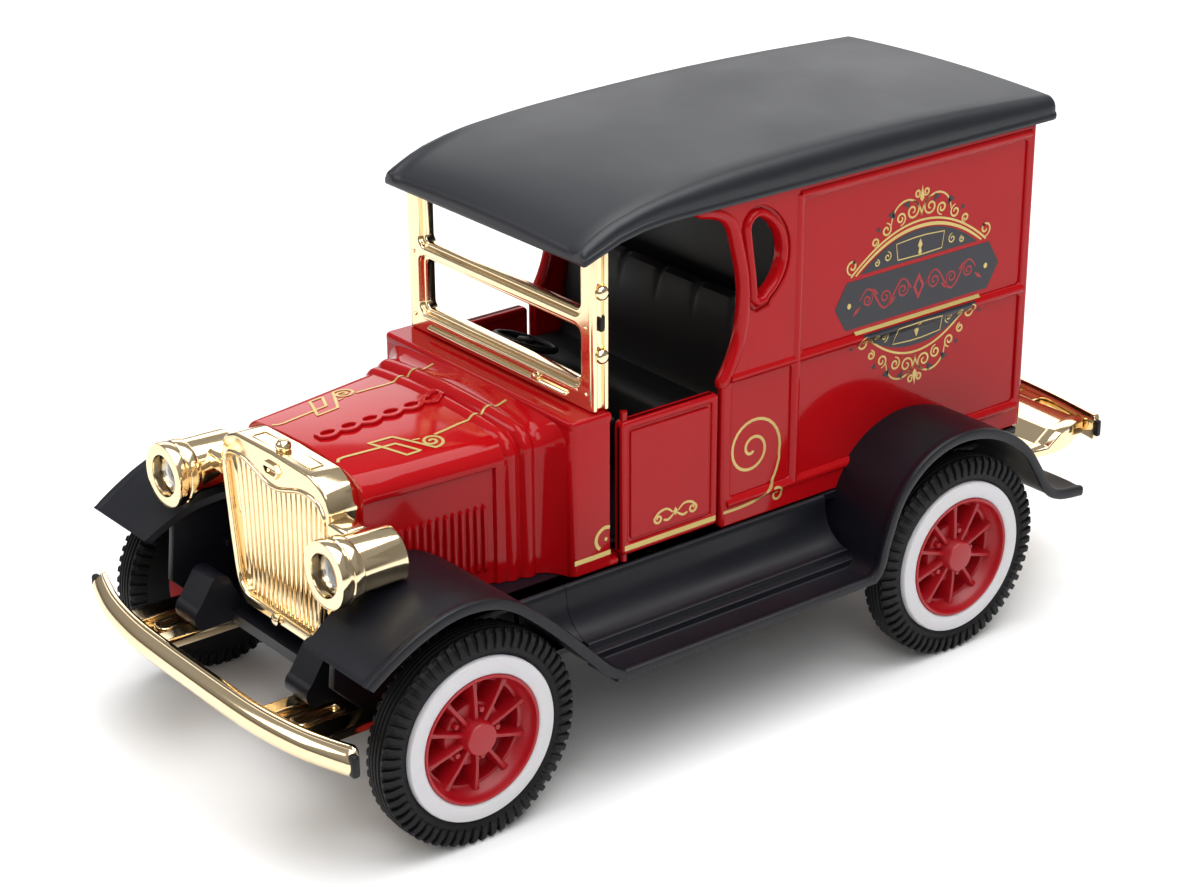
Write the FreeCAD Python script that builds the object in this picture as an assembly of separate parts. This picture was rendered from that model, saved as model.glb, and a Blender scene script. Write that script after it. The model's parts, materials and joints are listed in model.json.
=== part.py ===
import FreeCAD, Part
import math
import os

# Toy delivery van with opening doors and a flywheel friction motor. Millimetres.
# Zero is on the ground midway between the bumpers. +X is the van's left side, +Y its rear, +Z up.

# Wheels and axles
TYRE_RADIUS = 15.0
WHEEL_FACE_X = 34.0
TYRE_INNER_X = 28.8
TYRE_OUTER_X = 33.7
WHITE_RING_SEAT_X = 32.9
WHITE_RING_RADIUS = 11.35
RIM_RADIUS = 9.0
DISH_RADIUS = 8.1
SPOKE_COUNT = 10
HUB_RADIUS = 2.3
AXLE_RADIUS = 1.0
AXLE_HALF_LENGTH = 32.0
FRONT_AXLE_Y = -50.5
REAR_AXLE_Y = 34.6
RUNNING_CLEARANCE = 0.06

# Body casting
BODY_HALF_WIDTH = 21.9
BODY_WALL = 1.6
BODY_REAR_Y = 58.3
BODY_BASE_Z = 25.6
BODY_TOP_Z = 72.4
PANEL_DEPTH = 0.4
COWL_HALF_WIDTH = 21.6
COWL_FRONT_Y = -26.5
COWL_REAR_Y = -20.0
COWL_TOP_Z = 48.0
HOOD_FRONT_Y = -54.0
HOOD_WALL = 1.5

# Doors
DOOR_FRONT_Y = -18.6
DOOR_REAR_Y = -1.8
DOOR_BASE_Z = 26.8
DOOR_TOP_Z = 46.2
DOOR_OUTER_X = 22.3
DOOR_THICKNESS = 1.8
HINGE_X = 21.3
HINGE_Y = -17.6
HINGE_PIN_RADIUS = 0.5
HINGE_EAR = 0.9
HINGE_GAP = 0.3

# Roof
ROOF_HALF_WIDTH = 22.6
ROOF_CAVITY_HALF_WIDTH = 20.6
ROOF_REAR_Y = 61.7

# Steering wheel
STEERING_CENTRE = (-9.9, -10.3, 46.0)
STEERING_RAKE = 20
STEERING_COLUMN = 18.6

# Wings, running boards and chassis
WING_OUTER_X = 33.9
WING_INNER_X = 19.4
WING_SHEET = 1.1
BOARD_Z = 17.0
CHASSIS_HALF_WIDTH = 19.4
CHASSIS_FRONT_Y = -60.0
CHASSIS_REAR_Y = 57.5
CHASSIS_BASE_Z = 17.0
CHASSIS_PLATE = 1.6
RAIL_WIDTH = 1.4
RAIL_TOP_Z = 24.4
SHELF_TOP_Z = 25.5
CARRIER_BASE_Z = 12.5

# Bright trim
BUMPER_REACH_Y = 74.0
LAMP_X = 19.6
LAMP_Z = 36.9
LAMP_RADIUS = 4.15
LAMP_BORE = 3.5
LAMP_FRONT_Y = -62.3
LAMP_RING_FRONT_Y = -64.3
LAMP_REAR_Y = -53.9
RADIATOR_FRONT_Y = -59.0
GRILLE_RIBS = 19

# Friction motor
MODULE = 0.5
WHEEL_TEETH = 28
PINION_TEETH = 10
PRESSURE_ANGLE = math.radians(20)
FLANK_RELIEF = 0.05
GEAR_CENTRES = MODULE * (WHEEL_TEETH + PINION_TEETH) / 2
FIRST_MESH_ANGLE = math.radians(162)
SECOND_MESH_ANGLE = math.radians(188)
AXLE_CENTRE = (REAR_AXLE_Y, TYRE_RADIUS)
REDUCTION_CENTRE = (
    AXLE_CENTRE[0] + GEAR_CENTRES * math.cos(FIRST_MESH_ANGLE),
    AXLE_CENTRE[1] + GEAR_CENTRES * math.sin(FIRST_MESH_ANGLE),
)
FLYWHEEL_CENTRE = (
    REDUCTION_CENTRE[0] + GEAR_CENTRES * math.cos(SECOND_MESH_ANGLE),
    REDUCTION_CENTRE[1] + GEAR_CENTRES * math.sin(SECOND_MESH_ANGLE),
)
FLYWHEEL_RADIUS = 8.0
SHAFT_RADIUS = 0.75
CASE_HALF_WIDTH = 9.0
CASE_WALL = 1.2
CASE_LOW = (6.2, 5.8)
CASE_HIGH = (43.6, 27.0)
CASE_COLUMN_RADIUS = 1.6
CASE_COLUMNS = ((9.2, 8.9), (9.2, 24.1), (41.6, 8.9), (41.6, 24.1))
CASE_TABS_Y = (12.0, 39.0)

# Fasteners
SCREW_RADIUS = 0.9
SCREW_HEAD_RADIUS = 1.8
SCREW_HEAD = 1.2
BODY_POSTS = ((9.0, -44.0), (14.0, 53.0))

V = FreeCAD.Vector
X_AXIS = V(1, 0, 0)
Y_AXIS = V(0, 1, 0)
Z_AXIS = V(0, 0, 1)


def side(y, z):
    return V(0, y, z)


def front(x, z):
    return V(x, 0, z)


def plan(x, y):
    return V(x, y, 0)


def outline(plane, start, *steps):
    """Closed face. A step is the end of a straight run, or an arc's middle and end."""
    edges = []
    here = plane(*start)
    for step in steps + (start,):
        if isinstance(step[0], tuple):
            middle = plane(*step[0])
            end = plane(*step[1])
            edges.append(Part.Arc(here, middle, end).toShape())
        elif plane(*step) != here:
            end = plane(*step)
            edges.append(Part.makeLine(here, end))
        here = end
    return Part.Face(Part.Wire(edges))


def along_x(face, low, high):
    return face.translated(V(low, 0, 0)).extrude(V(high - low, 0, 0))


def along_y(face, low, high):
    return face.translated(V(0, low, 0)).extrude(V(0, high - low, 0))


def along_z(face, low, high):
    return face.translated(V(0, 0, low)).extrude(V(0, 0, high - low))


def box(x, y, z):
    """Block from three pairs of limits."""
    corner = V(x[0], y[0], z[0])
    return Part.makeBox(x[1] - x[0], y[1] - y[0], z[1] - z[0], corner)


def wide_box(half_width, y, z):
    return box((-half_width, half_width), y, z)


def rod_x(y, z, radius, low, high):
    return Part.makeCylinder(radius, high - low, V(low, y, z), X_AXIS)


def rod_y(x, z, radius, low, high):
    return Part.makeCylinder(radius, high - low, V(x, low, z), Y_AXIS)


def rod_z(x, y, radius, low, high):
    return Part.makeCylinder(radius, high - low, V(x, y, low), Z_AXIS)


def mirrored(shape):
    """The same piece on the van's right side."""
    return shape.mirror(V(0, 0, 0), X_AXIS)


def both(shape):
    return [shape, mirrored(shape)]


def joined(shapes):
    """One solid from overlapping or touching shapes."""
    result = shapes[0]
    for shape in shapes[1:]:
        result = result.fuse(shape)
    return result.removeSplitter()


def cut_all(shape, tools):
    for tool in tools:
        shape = shape.cut(tool)
    return shape


# ---------------------------------------------------------------- body casting


def van_side():
    """Left side wall of the van box, with its curved front pillar and sunk panels."""
    wall = outline(
        side,
        (BODY_REAR_Y, BODY_BASE_Z),
        (BODY_REAR_Y, BODY_TOP_Z),
        (-4.6, BODY_TOP_Z),
        ((0.6, 69.9), (2.1, 65.4)),
        ((3.3, 57.6), (-0.6, 46.9)),
        (-0.6, BODY_BASE_Z),
    )
    plate = along_x(wall, BODY_HALF_WIDTH - BODY_WALL, BODY_HALF_WIDTH)
    panels = (
        ((13.4, 56.5), (48.3, 70.3)),
        ((13.4, 56.5), (29.8, 46.7)),
        ((0.6, 11.8), (29.8, 46.7)),
    )
    sunk = (BODY_HALF_WIDTH - PANEL_DEPTH, BODY_HALF_WIDTH + 1)
    plate = cut_all(plate, [box(sunk, y, z) for y, z in panels])
    return plate.cut(along_x(teardrop_window(), 0, BODY_HALF_WIDTH + 1))


def teardrop_window():
    return outline(
        side,
        (3.9, 68.3),
        (5.4, 58.0),
        ((9.2, 63.4), (5.9, 69.2)),
        ((4.6, 69.4), (3.9, 68.3)),
    )


def cowl_side():
    across = (COWL_HALF_WIDTH - BODY_WALL, COWL_HALF_WIDTH)
    return box(across, (COWL_FRONT_Y, COWL_REAR_Y), (BODY_BASE_Z, COWL_TOP_Z))


def hood_section(y, half_width, top_z, inset=0.0):
    """Cross-section of the hood: upright sides, rolled shoulders and a crowned top."""
    wide = half_width - inset
    top = top_z - inset
    shoulder_z = top - 3.4
    face = outline(
        front,
        (-wide, BODY_BASE_Z),
        (-wide, shoulder_z),
        ((-wide + 1.0, shoulder_z + 1.8), (-wide + 3.2, top - 0.7)),
        ((0, top), (wide - 3.2, top - 0.7)),
        ((wide - 1.0, shoulder_z + 1.8), (wide, shoulder_z)),
        (wide, BODY_BASE_Z),
    )
    return face.translated(V(0, y, 0)).OuterWire


def loft(sections):
    return Part.makeLoft(sections, True, True)


def hood():
    """Tapered hood, the two beads behind it and the flare up to the cowl."""
    beads = ((-33.4, 17.4, 47.0, -31.9), (-31.1, 18.0, 47.7, -29.4))
    outer = [loft([hood_section(HOOD_FRONT_Y, 14.0, 45.8), hood_section(-30.0, 17.0, 46.6)])]
    for start, half_width, top_z, end in beads:
        sections = [hood_section(start, half_width, top_z), hood_section(end, half_width, top_z)]
        outer.append(loft(sections))
    outer.append(loft([hood_section(-30.5, 17.2, 47.0), hood_section(COWL_FRONT_Y + 0.2, 19.4, 47.6)]))
    shell = joined(outer)
    inner = loft(
        [
            hood_section(HOOD_FRONT_Y - 1, 14.0, 45.8, HOOD_WALL),
            hood_section(COWL_FRONT_Y + 3, 17.0, 46.6, HOOD_WALL),
        ]
    )
    below = wide_box(11.5, (HOOD_FRONT_Y + HOOD_WALL, COWL_FRONT_Y + 3), (BODY_BASE_Z, BODY_BASE_Z + 3))
    return shell, inner.fuse(below)


def body_post(x, y, top_z):
    """Screw post that reaches down to the chassis plate."""
    bottom = CHASSIS_BASE_Z + CHASSIS_PLATE
    post = rod_z(x, y, 2.4, bottom, top_z)
    return post.cut(rod_z(x, y, SCREW_RADIUS, bottom - 1, bottom + 9))


def hinge_ears():
    """Lugs above and below the left door that hold its hinge pin."""
    ears = []
    sill_x = BODY_HALF_WIDTH - BODY_WALL - 1.4
    for base_z in (DOOR_BASE_Z - HINGE_GAP - HINGE_EAR, DOOR_TOP_Z + HINGE_GAP):
        lug = box((sill_x, HINGE_X), (COWL_REAR_Y - 0.5, HINGE_Y + 0.8), (base_z, base_z + HINGE_EAR))
        nose = rod_z(HINGE_X, HINGE_Y, 0.8, base_z, base_z + HINGE_EAR)
        hole = rod_z(HINGE_X, HINGE_Y, HINGE_PIN_RADIUS, base_z - 1, base_z + 2)
        ears.append(lug.fuse(nose).cut(hole))
    return ears


def sill_rail():
    """Narrow rail behind the door's lower edge that joins the cowl to the van box."""
    inner_x = BODY_HALF_WIDTH - BODY_WALL - 1.4
    return box((inner_x, inner_x + 1.4), (COWL_REAR_Y - 1, 1.0), (BODY_BASE_Z, DOOR_BASE_Z - 0.2))


def body_shell():
    sides = both(joined([van_side(), sill_rail(), cowl_side()] + hinge_ears()))
    rear = wide_box(BODY_HALF_WIDTH, (BODY_REAR_Y - BODY_WALL, BODY_REAR_Y), (BODY_BASE_Z, BODY_TOP_Z))
    deck_level = (COWL_TOP_Z - BODY_WALL, COWL_TOP_Z)
    deck = wide_box(COWL_HALF_WIDTH, (COWL_FRONT_Y, COWL_REAR_Y + 0.4), deck_level)
    firewall_depth = (COWL_FRONT_Y, COWL_FRONT_Y + BODY_WALL)
    firewall = wide_box(COWL_HALF_WIDTH, firewall_depth, (BODY_BASE_Z, COWL_TOP_Z))
    skin, hollow = hood()
    front_end = joined([firewall, skin, deck]).cut(hollow)
    front_post, rear_post = BODY_POSTS
    posts = [body_post(*front_post, 45.4), body_post(*rear_post, 40.0)]
    web_across = (rear_post[0] - 0.7, rear_post[0] + 0.7)
    web = box(web_across, (rear_post[1] + 1.6, BODY_REAR_Y - 1), (BODY_BASE_Z, 40.0))
    posts.append(web)
    right_posts = [mirrored(post) for post in posts]
    shell = joined(sides + [rear, front_end] + posts + right_posts)
    pegs = [rod_z(x, -21.0, 0.9, COWL_TOP_Z - 3, COWL_TOP_Z + 1) for x in (-15, 15)]
    return cut_all(shell, pegs)


def door():
    """Left door with a sunk centre panel and the bore for its hinge pin."""
    inner_x = DOOR_OUTER_X - DOOR_THICKNESS
    plate = box((inner_x, DOOR_OUTER_X), (DOOR_FRONT_Y, DOOR_REAR_Y), (DOOR_BASE_Z, DOOR_TOP_Z))
    panel_y = (DOOR_FRONT_Y + 2.6, DOOR_REAR_Y - 1.6)
    panel_z = (DOOR_BASE_Z + 1.6, DOOR_TOP_Z - 1.6)
    plate = plate.cut(box((DOOR_OUTER_X - 0.3, DOOR_OUTER_X + 1), panel_y, panel_z))
    plate = plate.cut(box((inner_x - 1, inner_x + 0.5), panel_y, panel_z))
    bore = HINGE_PIN_RADIUS + RUNNING_CLEARANCE
    return plate.cut(rod_z(HINGE_X, HINGE_Y, bore, DOOR_BASE_Z - 1, DOOR_TOP_Z + 1))


def door_hinge_pin():
    low = DOOR_BASE_Z - HINGE_GAP - HINGE_EAR
    high = DOOR_TOP_Z + HINGE_GAP + HINGE_EAR
    return rod_z(HINGE_X, HINGE_Y, HINGE_PIN_RADIUS, low, high)


# ---------------------------------------------------------------- roof and cab


def roof():
    """Black moulded roof: long crowned top, drooping front peak and a hollow underside."""
    profile = outline(
        side,
        (-24.8, 69.2),
        (-25.0, 71.1),
        ((-13.4, 75.7), (2.0, 77.3)),
        ((18.0, 77.7), (60.4, 76.4)),
        ((61.5, 76.0), (61.9, 75.0)),
        (ROOF_REAR_Y, BODY_TOP_Z),
        (-11.0, BODY_TOP_Z),
        ((-18.4, 71.5), (-24.8, 69.2)),
    )
    section = outline(
        front,
        (-ROOF_HALF_WIDTH, 60.0),
        (-ROOF_HALF_WIDTH, 73.2),
        ((-21.9, 76.0), (-19.8, 77.2)),
        ((0, 77.9), (19.8, 77.2)),
        ((21.9, 76.0), (ROOF_HALF_WIDTH, 73.2)),
        (ROOF_HALF_WIDTH, 60.0),
    )
    cavity = outline(
        side,
        (-23.2, 60.0),
        (-23.2, 70.4),
        ((-12.6, 74.3), (2.0, 75.7)),
        (57.0, 74.9),
        (57.0, 60.0),
    )
    skin = along_x(profile, -ROOF_HALF_WIDTH, ROOF_HALF_WIDTH).common(along_y(section, -30, 70))
    return skin.cut(along_x(cavity, -ROOF_CAVITY_HALF_WIDTH, ROOF_CAVITY_HALF_WIDTH))


def windshield_frame():
    """Plated double-pane screen frame with side knobs and two pegs for the cowl."""
    y = (-22.4, -19.6)
    frame = wide_box(20.5, y, (COWL_TOP_Z, 70.4))
    for z in ((51.2, 59.5), (61.0, 69.4)):
        frame = frame.cut(wide_box(18.2, (y[0] - 1, y[1] + 1), z))
    bar = rod_x(-22.4, 50.2, 0.5, -15.0, 15.0)
    knobs = [rod_x(-21.0, z, 0.8, 20.0, 21.5) for z in (55.9, 64.7)]
    pegs = [rod_z(x, -21.0, 0.9, COWL_TOP_Z - BODY_WALL, COWL_TOP_Z + 1) for x in (-15, 15)]
    return joined([frame, bar] + pegs + knobs + [mirrored(knob) for knob in knobs])


def cab_interior():
    """Black moulding with the floor, dashboard, pleated bench and rear partition."""
    floor = wide_box(18.8, (-24.8, 10.6), (27.2, 28.4))
    dash = wide_box(19.6, (-24.6, -22.8), (27.6, 46.0))
    dash_top = wide_box(19.6, (-24.6, -17.4), (44.8, 46.0))
    bench = wide_box(18.6, (-3.6, 8.0), (28.0, 42.0))
    back = along_x(
        outline(side, (3.2, 41.0), (5.0, 56.5), ((6.4, 57.2), (7.6, 56.0)), (7.6, 41.0)), -18.6, 18.6
    )
    partition = wide_box(20.1, (9.4, 10.6), (28.8, 72.0))
    seat_box = wide_box(18.6, (7.0, 10.0), (28.0, 42.0))
    tub = joined([floor, dash, dash_top, bench, back, partition, seat_box])
    return tub.cut(raked(steering_column(AXLE_RADIUS)))


def raked(shape):
    """Tilts a piece from the upright Z axis onto the steering column's axis."""
    shape.rotate(V(0, 0, 0), X_AXIS, -STEERING_RAKE)
    return shape.translated(V(*STEERING_CENTRE))


def steering_column(radius):
    return rod_z(0, 0, radius, -STEERING_COLUMN, -0.3)


def steering_wheel():
    """Steering wheel with a faceted rim and four flat spokes, on its raked column."""
    rim = outline(
        front,
        (3.9, -0.2),
        (4.2, -0.5),
        (4.6, -0.5),
        (4.9, -0.2),
        (4.9, 0.2),
        (4.6, 0.5),
        (4.2, 0.5),
        (3.9, 0.2),
    ).revolve(V(0, 0, 0), Z_AXIS, 360)
    hub = rod_z(0, 0, 1.3, -0.8, 0.4)
    pieces = [steering_column(AXLE_RADIUS), hub, rim]
    for turn in (45, 135):
        spoke = box((-4.3, 4.3), (-0.35, 0.35), (-0.3, 0.3))
        spoke.rotate(V(0, 0, 0), Z_AXIS, turn)
        pieces.append(spoke)
    return raked(joined(pieces))


# ---------------------------------------------------------------- wings and chassis


def sheet_strip(start, *steps):
    """Curved sheet in side view: a run of arcs thickened downwards, as a flat face."""
    edges = []
    here = side(*start)
    for middle, end in steps:
        edges.append(Part.Arc(here, side(*middle), side(*end)).toShape())
        here = side(*end)
    lower = [edge.translated(V(0, 0, -WING_SHEET)) for edge in edges]
    first = edges[0].firstVertex().Point
    closing = Part.makeLine(first, first - V(0, 0, WING_SHEET))
    last = edges[-1].lastVertex().Point
    ending = Part.makeLine(last, last - V(0, 0, WING_SHEET))
    return Part.Face(Part.Wire(edges + [ending] + lower[::-1] + [closing]))


def front_wing():
    strip = sheet_strip(
        (-67.5, 28.3),
        ((-61.2, 32.2), (-51.5, 34.5)),
        ((-44.6, 32.4), (-38.6, 27.4)),
        ((-33.6, 22.0), (-27.4, BOARD_Z)),
    )
    return along_x(strip, WING_INNER_X, WING_OUTER_X)


def rear_wing():
    strip = sheet_strip(
        (17.0, BOARD_Z),
        ((19.8, 23.6), (22.6, 29.0)),
        ((33.6, 34.3), (47.4, 28.8)),
        ((51.4, 22.4), (59.8, 19.0)),
    )
    return along_x(strip, WING_INNER_X, WING_OUTER_X)


def running_board():
    """Left running board with its hollow valance and two tread steps."""
    section = outline(
        front,
        (WING_INNER_X, SHELF_TOP_Z),
        (22.6, SHELF_TOP_Z),
        ((23.6, 20.6), (27.0, 19.0)),
        (27.6, 19.0),
        (27.6, 18.0),
        (28.8, 18.0),
        (28.8, BOARD_Z),
        (WING_OUTER_X, BOARD_Z),
        (WING_OUTER_X, BOARD_Z - WING_SHEET),
        (27.4, BOARD_Z - WING_SHEET),
        (26.4, 17.8),
        ((22.9, 19.6), (21.6, RAIL_TOP_Z)),
        (WING_INNER_X, RAIL_TOP_Z),
    )
    return along_y(section, -28.4, 18.2)


def wing_skirt(low_y, high_y, arch):
    """Upright inner wall under a wing, trimmed to stay below the wing's sheet."""
    wall = box((WING_INNER_X, WING_INNER_X + WING_SHEET), (low_y, high_y), (CHASSIS_BASE_Z, 40.0))
    return wall.common(along_x(arch, WING_INNER_X - 1, WING_INNER_X + 4))


def shelf():
    """Flat shelf under the body's edge, wider beside the hood."""
    rail_inner_x = CHASSIS_HALF_WIDTH - RAIL_WIDTH
    z = (RAIL_TOP_Z, SHELF_TOP_Z)
    along_body = box((rail_inner_x, BODY_HALF_WIDTH), (-56.0, BODY_REAR_Y - 1), z)
    beside_hood = box((13.6, rail_inner_x + 1), (-52.0, COWL_FRONT_Y), z)
    return along_body.fuse(beside_hood)


def wing_unit():
    """Left front wing, running board and rear wing in one moulding."""
    front_arch = outline(
        side, (-60.0, 10.0), (-60.0, 31.6), ((-51.5, 34.0), (-38.6, 26.6)), (-30.0, 18.6), (-30.0, 10.0)
    )
    rear_arch = outline(
        side,
        (19.0, 10.0),
        (19.0, 21.0),
        (22.6, 28.5),
        ((33.6, 33.8), (47.4, 28.3)),
        (57.0, 19.0),
        (57.0, 10.0),
    )
    skirts = [wing_skirt(-60.0, -30.0, front_arch), wing_skirt(19.0, 57.0, rear_arch)]
    inner_wing = front_wing().translated(V(-6.4, 0, 0))
    inner_wing = inner_wing.common(box((10, 24), (-58.4, -30.0), (SHELF_TOP_Z - 0.5, 40)))
    hood_skin, hood_hollow = hood()
    inner_wing = inner_wing.cut(hood_skin).cut(hood_hollow).cut(box((0, 13.6), (-70, -20), (0, 60)))
    unit = joined([front_wing(), rear_wing(), running_board(), shelf(), inner_wing] + skirts)
    for centre_y in (FRONT_AXLE_Y, REAR_AXLE_Y):
        unit = unit.cut(rod_x(centre_y, TYRE_RADIUS, 4.0, WING_INNER_X - 1, WING_INNER_X + 3))
    body_room = box((0, BODY_HALF_WIDTH + 0.05), (-28.0, BODY_REAR_Y + 0.3), (SHELF_TOP_Z, 60))
    return unit.cut(body_room)


def chassis():
    """Base plate with side rails, front dumb irons and the front axle carriers."""
    top = CHASSIS_BASE_Z + CHASSIS_PLATE
    plate = wide_box(CHASSIS_HALF_WIDTH, (CHASSIS_FRONT_Y, CHASSIS_REAR_Y), (CHASSIS_BASE_Z, top))
    rail_across = (CHASSIS_HALF_WIDTH - RAIL_WIDTH, CHASSIS_HALF_WIDTH)
    rail = box(rail_across, (-56.0, CHASSIS_REAR_Y), (top, RAIL_TOP_Z))
    horn = along_x(
        outline(
            side,
            (-58.4, CHASSIS_BASE_Z),
            (-58.4, 20.4),
            (-60.0, 23.6),
            ((-61.2, 24.2), (-62.6, 23.6)),
            (-64.8, 20.2),
            ((-65.6, 18.6), (-64.4, CHASSIS_BASE_Z)),
        ),
        11.2,
        16.4,
    )
    carrier = box((13.0, 17.0), (FRONT_AXLE_Y - 3, FRONT_AXLE_Y + 3), (CARRIER_BASE_Z, CHASSIS_BASE_Z))
    slot_radius = AXLE_RADIUS + RUNNING_CLEARANCE
    slot = box(
        (12.0, 18.0),
        (FRONT_AXLE_Y - slot_radius, FRONT_AXLE_Y + slot_radius),
        (CARRIER_BASE_Z - 1, TYRE_RADIUS),
    )
    carrier = carrier.cut(slot).cut(rod_x(FRONT_AXLE_Y, TYRE_RADIUS, slot_radius, 12, 18))
    tray = joined([plate] + both(rail) + both(horn) + both(carrier))
    motor_hole = wide_box(CASE_HALF_WIDTH, (CASE_LOW[0], CASE_HIGH[0]), (CHASSIS_BASE_Z - 1, top + 1))
    room_depth = (REAR_AXLE_Y - 2, REAR_AXLE_Y + 2)
    axle_room = wide_box(CHASSIS_HALF_WIDTH + 1, room_depth, (10, CHASSIS_BASE_Z + 0.2))
    holes = [rod_z(x, y, SCREW_RADIUS, 10, 24) for x, y in screw_places()]
    return cut_all(tray, [motor_hole, axle_room] + holes)


def axle_clip():
    """Plate under the front axle that closes the slots in its carriers."""
    plate_depth = (FRONT_AXLE_Y - 3.6, FRONT_AXLE_Y + 3.6)
    plate = wide_box(17.0, plate_depth, (CARRIER_BASE_Z - 1.2, CARRIER_BASE_Z))
    half_slot = AXLE_RADIUS + RUNNING_CLEARANCE
    saddle_top = TYRE_RADIUS - AXLE_RADIUS - RUNNING_CLEARANCE
    saddle_depth = (FRONT_AXLE_Y - half_slot, FRONT_AXLE_Y + half_slot)
    saddle = box((13.0, 17.0), saddle_depth, (CARRIER_BASE_Z, saddle_top))
    return joined([plate] + both(saddle))


def screw_places():
    """Chassis screws: four into the body posts and four into the motor case's tabs."""
    right_half = list(BODY_POSTS) + [(CASE_HALF_WIDTH + 2.2, y) for y in CASE_TABS_Y]
    return right_half + [(-x, y) for x, y in right_half]


def pan_screw(x, y, shank_top):
    """Cross-head screw driven upwards through the chassis plate."""
    head = rod_z(x, y, SCREW_HEAD_RADIUS, CHASSIS_BASE_Z - SCREW_HEAD, CHASSIS_BASE_Z)
    screw = head.fuse(rod_z(x, y, SCREW_RADIUS, CHASSIS_BASE_Z, shank_top))
    low = CHASSIS_BASE_Z - SCREW_HEAD
    arm = SCREW_HEAD_RADIUS * 0.6
    screw = screw.cut(box((x - arm, x + arm), (y - 0.25, y + 0.25), (low, low + 0.6)))
    return screw.cut(box((x - 0.25, x + 0.25), (y - arm, y + arm), (low, low + 0.6)))


def body_screws():
    places = [(sign * x, y) for x, y in BODY_POSTS for sign in (1, -1)]
    return Part.makeCompound([pan_screw(x, y, 26.0) for x, y in places])


def motor_mount_screws():
    places = [(sign * (CASE_HALF_WIDTH + 2.2), y) for y in CASE_TABS_Y for sign in (1, -1)]
    return Part.makeCompound([pan_screw(x, y, 19.8) for x, y in places])


# ---------------------------------------------------------------- bright trim


def radiator_outline(inset=0.0):
    return outline(
        front,
        (-10.4 + inset, 20.2 + inset),
        (10.4 - inset, 20.2 + inset),
        (13.2 - inset, 41.6),
        ((12.4 - inset * 0.7, 44.4 - inset * 0.7), (9.6, 45.5 - inset)),
        (-9.6, 45.5 - inset),
        ((-12.4 + inset * 0.7, 44.4 - inset * 0.7), (-13.2 + inset, 41.6)),
    )


def grille_outline():
    """Grille opening: narrow rounded foot, and a brow with two lobes and a dip."""
    return outline(
        front,
        (-7.4, 22.2),
        (7.4, 22.2),
        ((9.2, 22.9), (9.9, 24.6)),
        (11.9, 39.8),
        ((8.4, 42.2), (3.2, 41.4)),
        ((0, 40.2), (-3.2, 41.4)),
        ((-8.4, 42.2), (-11.9, 39.8)),
        (-9.9, 24.6),
        ((-9.2, 22.9), (-7.4, 22.2)),
    )


def radiator_shell():
    """Plated radiator surround with its filler cap, badge plate and lamp arms."""
    block = along_y(radiator_outline(), RADIATOR_FRONT_Y, HOOD_FRONT_Y)
    block = block.cut(along_y(radiator_outline(1.4), RADIATOR_FRONT_Y + 2.6, HOOD_FRONT_Y + 1))
    block = block.cut(along_y(grille_outline(), RADIATOR_FRONT_Y - 1, RADIATOR_FRONT_Y + 3))
    cap = Part.makeSphere(1.1, V(0, -57.1, 45.9))
    badge = along_y(
        outline(front, (-1.6, 43.2), (-0.9, 42.4), (0.9, 42.4), (1.6, 43.2), (0.9, 44.0), (-0.9, 44.0)),
        RADIATOR_FRONT_Y - 0.4,
        RADIATOR_FRONT_Y + 1,
    )
    crank_boss = Part.makeSphere(0.8, V(0, RADIATOR_FRONT_Y - 0.1, 21.3))
    shell = joined([block, cap, badge, crank_boss])
    lamp_room = rod_y(LAMP_X, LAMP_Z, LAMP_RADIUS, LAMP_FRONT_Y, LAMP_REAR_Y + 0.2)
    arm = box((12.0, 17.0), (-59.0, -55.4), (37.8, 40.4)).cut(lamp_room)
    arm = arm.cut(along_y(radiator_outline(1.4), RADIATOR_FRONT_Y + 2.6, HOOD_FRONT_Y + 1))
    return joined([shell] + both(arm))


def radiator_grille():
    """Grille insert: a backing plate with upright half-round ribs."""
    backing = along_y(grille_outline(), RADIATOR_FRONT_Y + 1.4, RADIATOR_FRONT_Y + 2.6)
    pitch = 22.0 / GRILLE_RIBS
    ribs = []
    for index in range(GRILLE_RIBS):
        x = (index - (GRILLE_RIBS - 1) / 2) * pitch
        ribs.append(rod_z(x, RADIATOR_FRONT_Y + 1.3, pitch * 0.42, 20.0, 45.0))
    grille_block = along_y(grille_outline(), RADIATOR_FRONT_Y - 1, RADIATOR_FRONT_Y + 2)
    bars = Part.makeCompound(ribs).common(grille_block)
    return joined([backing] + bars.Solids)


def headlamp_can():
    """Left lamp can with its stepped ring, cut flat below where it sits over the wing."""
    can = rod_y(LAMP_X, LAMP_Z, LAMP_RADIUS, LAMP_FRONT_Y, LAMP_REAR_Y)
    collar = rod_y(LAMP_X, LAMP_Z, LAMP_RADIUS + 0.25, LAMP_FRONT_Y - 0.2, LAMP_FRONT_Y + 1.6)
    ring = rod_y(LAMP_X, LAMP_Z, LAMP_RADIUS + 0.45, LAMP_RING_FRONT_Y, LAMP_FRONT_Y)
    lamp = joined([can, collar, ring])
    lamp = lamp.cut(rod_y(LAMP_X, LAMP_Z, LAMP_BORE, LAMP_RING_FRONT_Y - 1, -57.6))
    over_wing = box((10, 30), (LAMP_FRONT_Y + 0.9, -50), (20, 34.9))
    return lamp.cut(over_wing)


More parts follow.
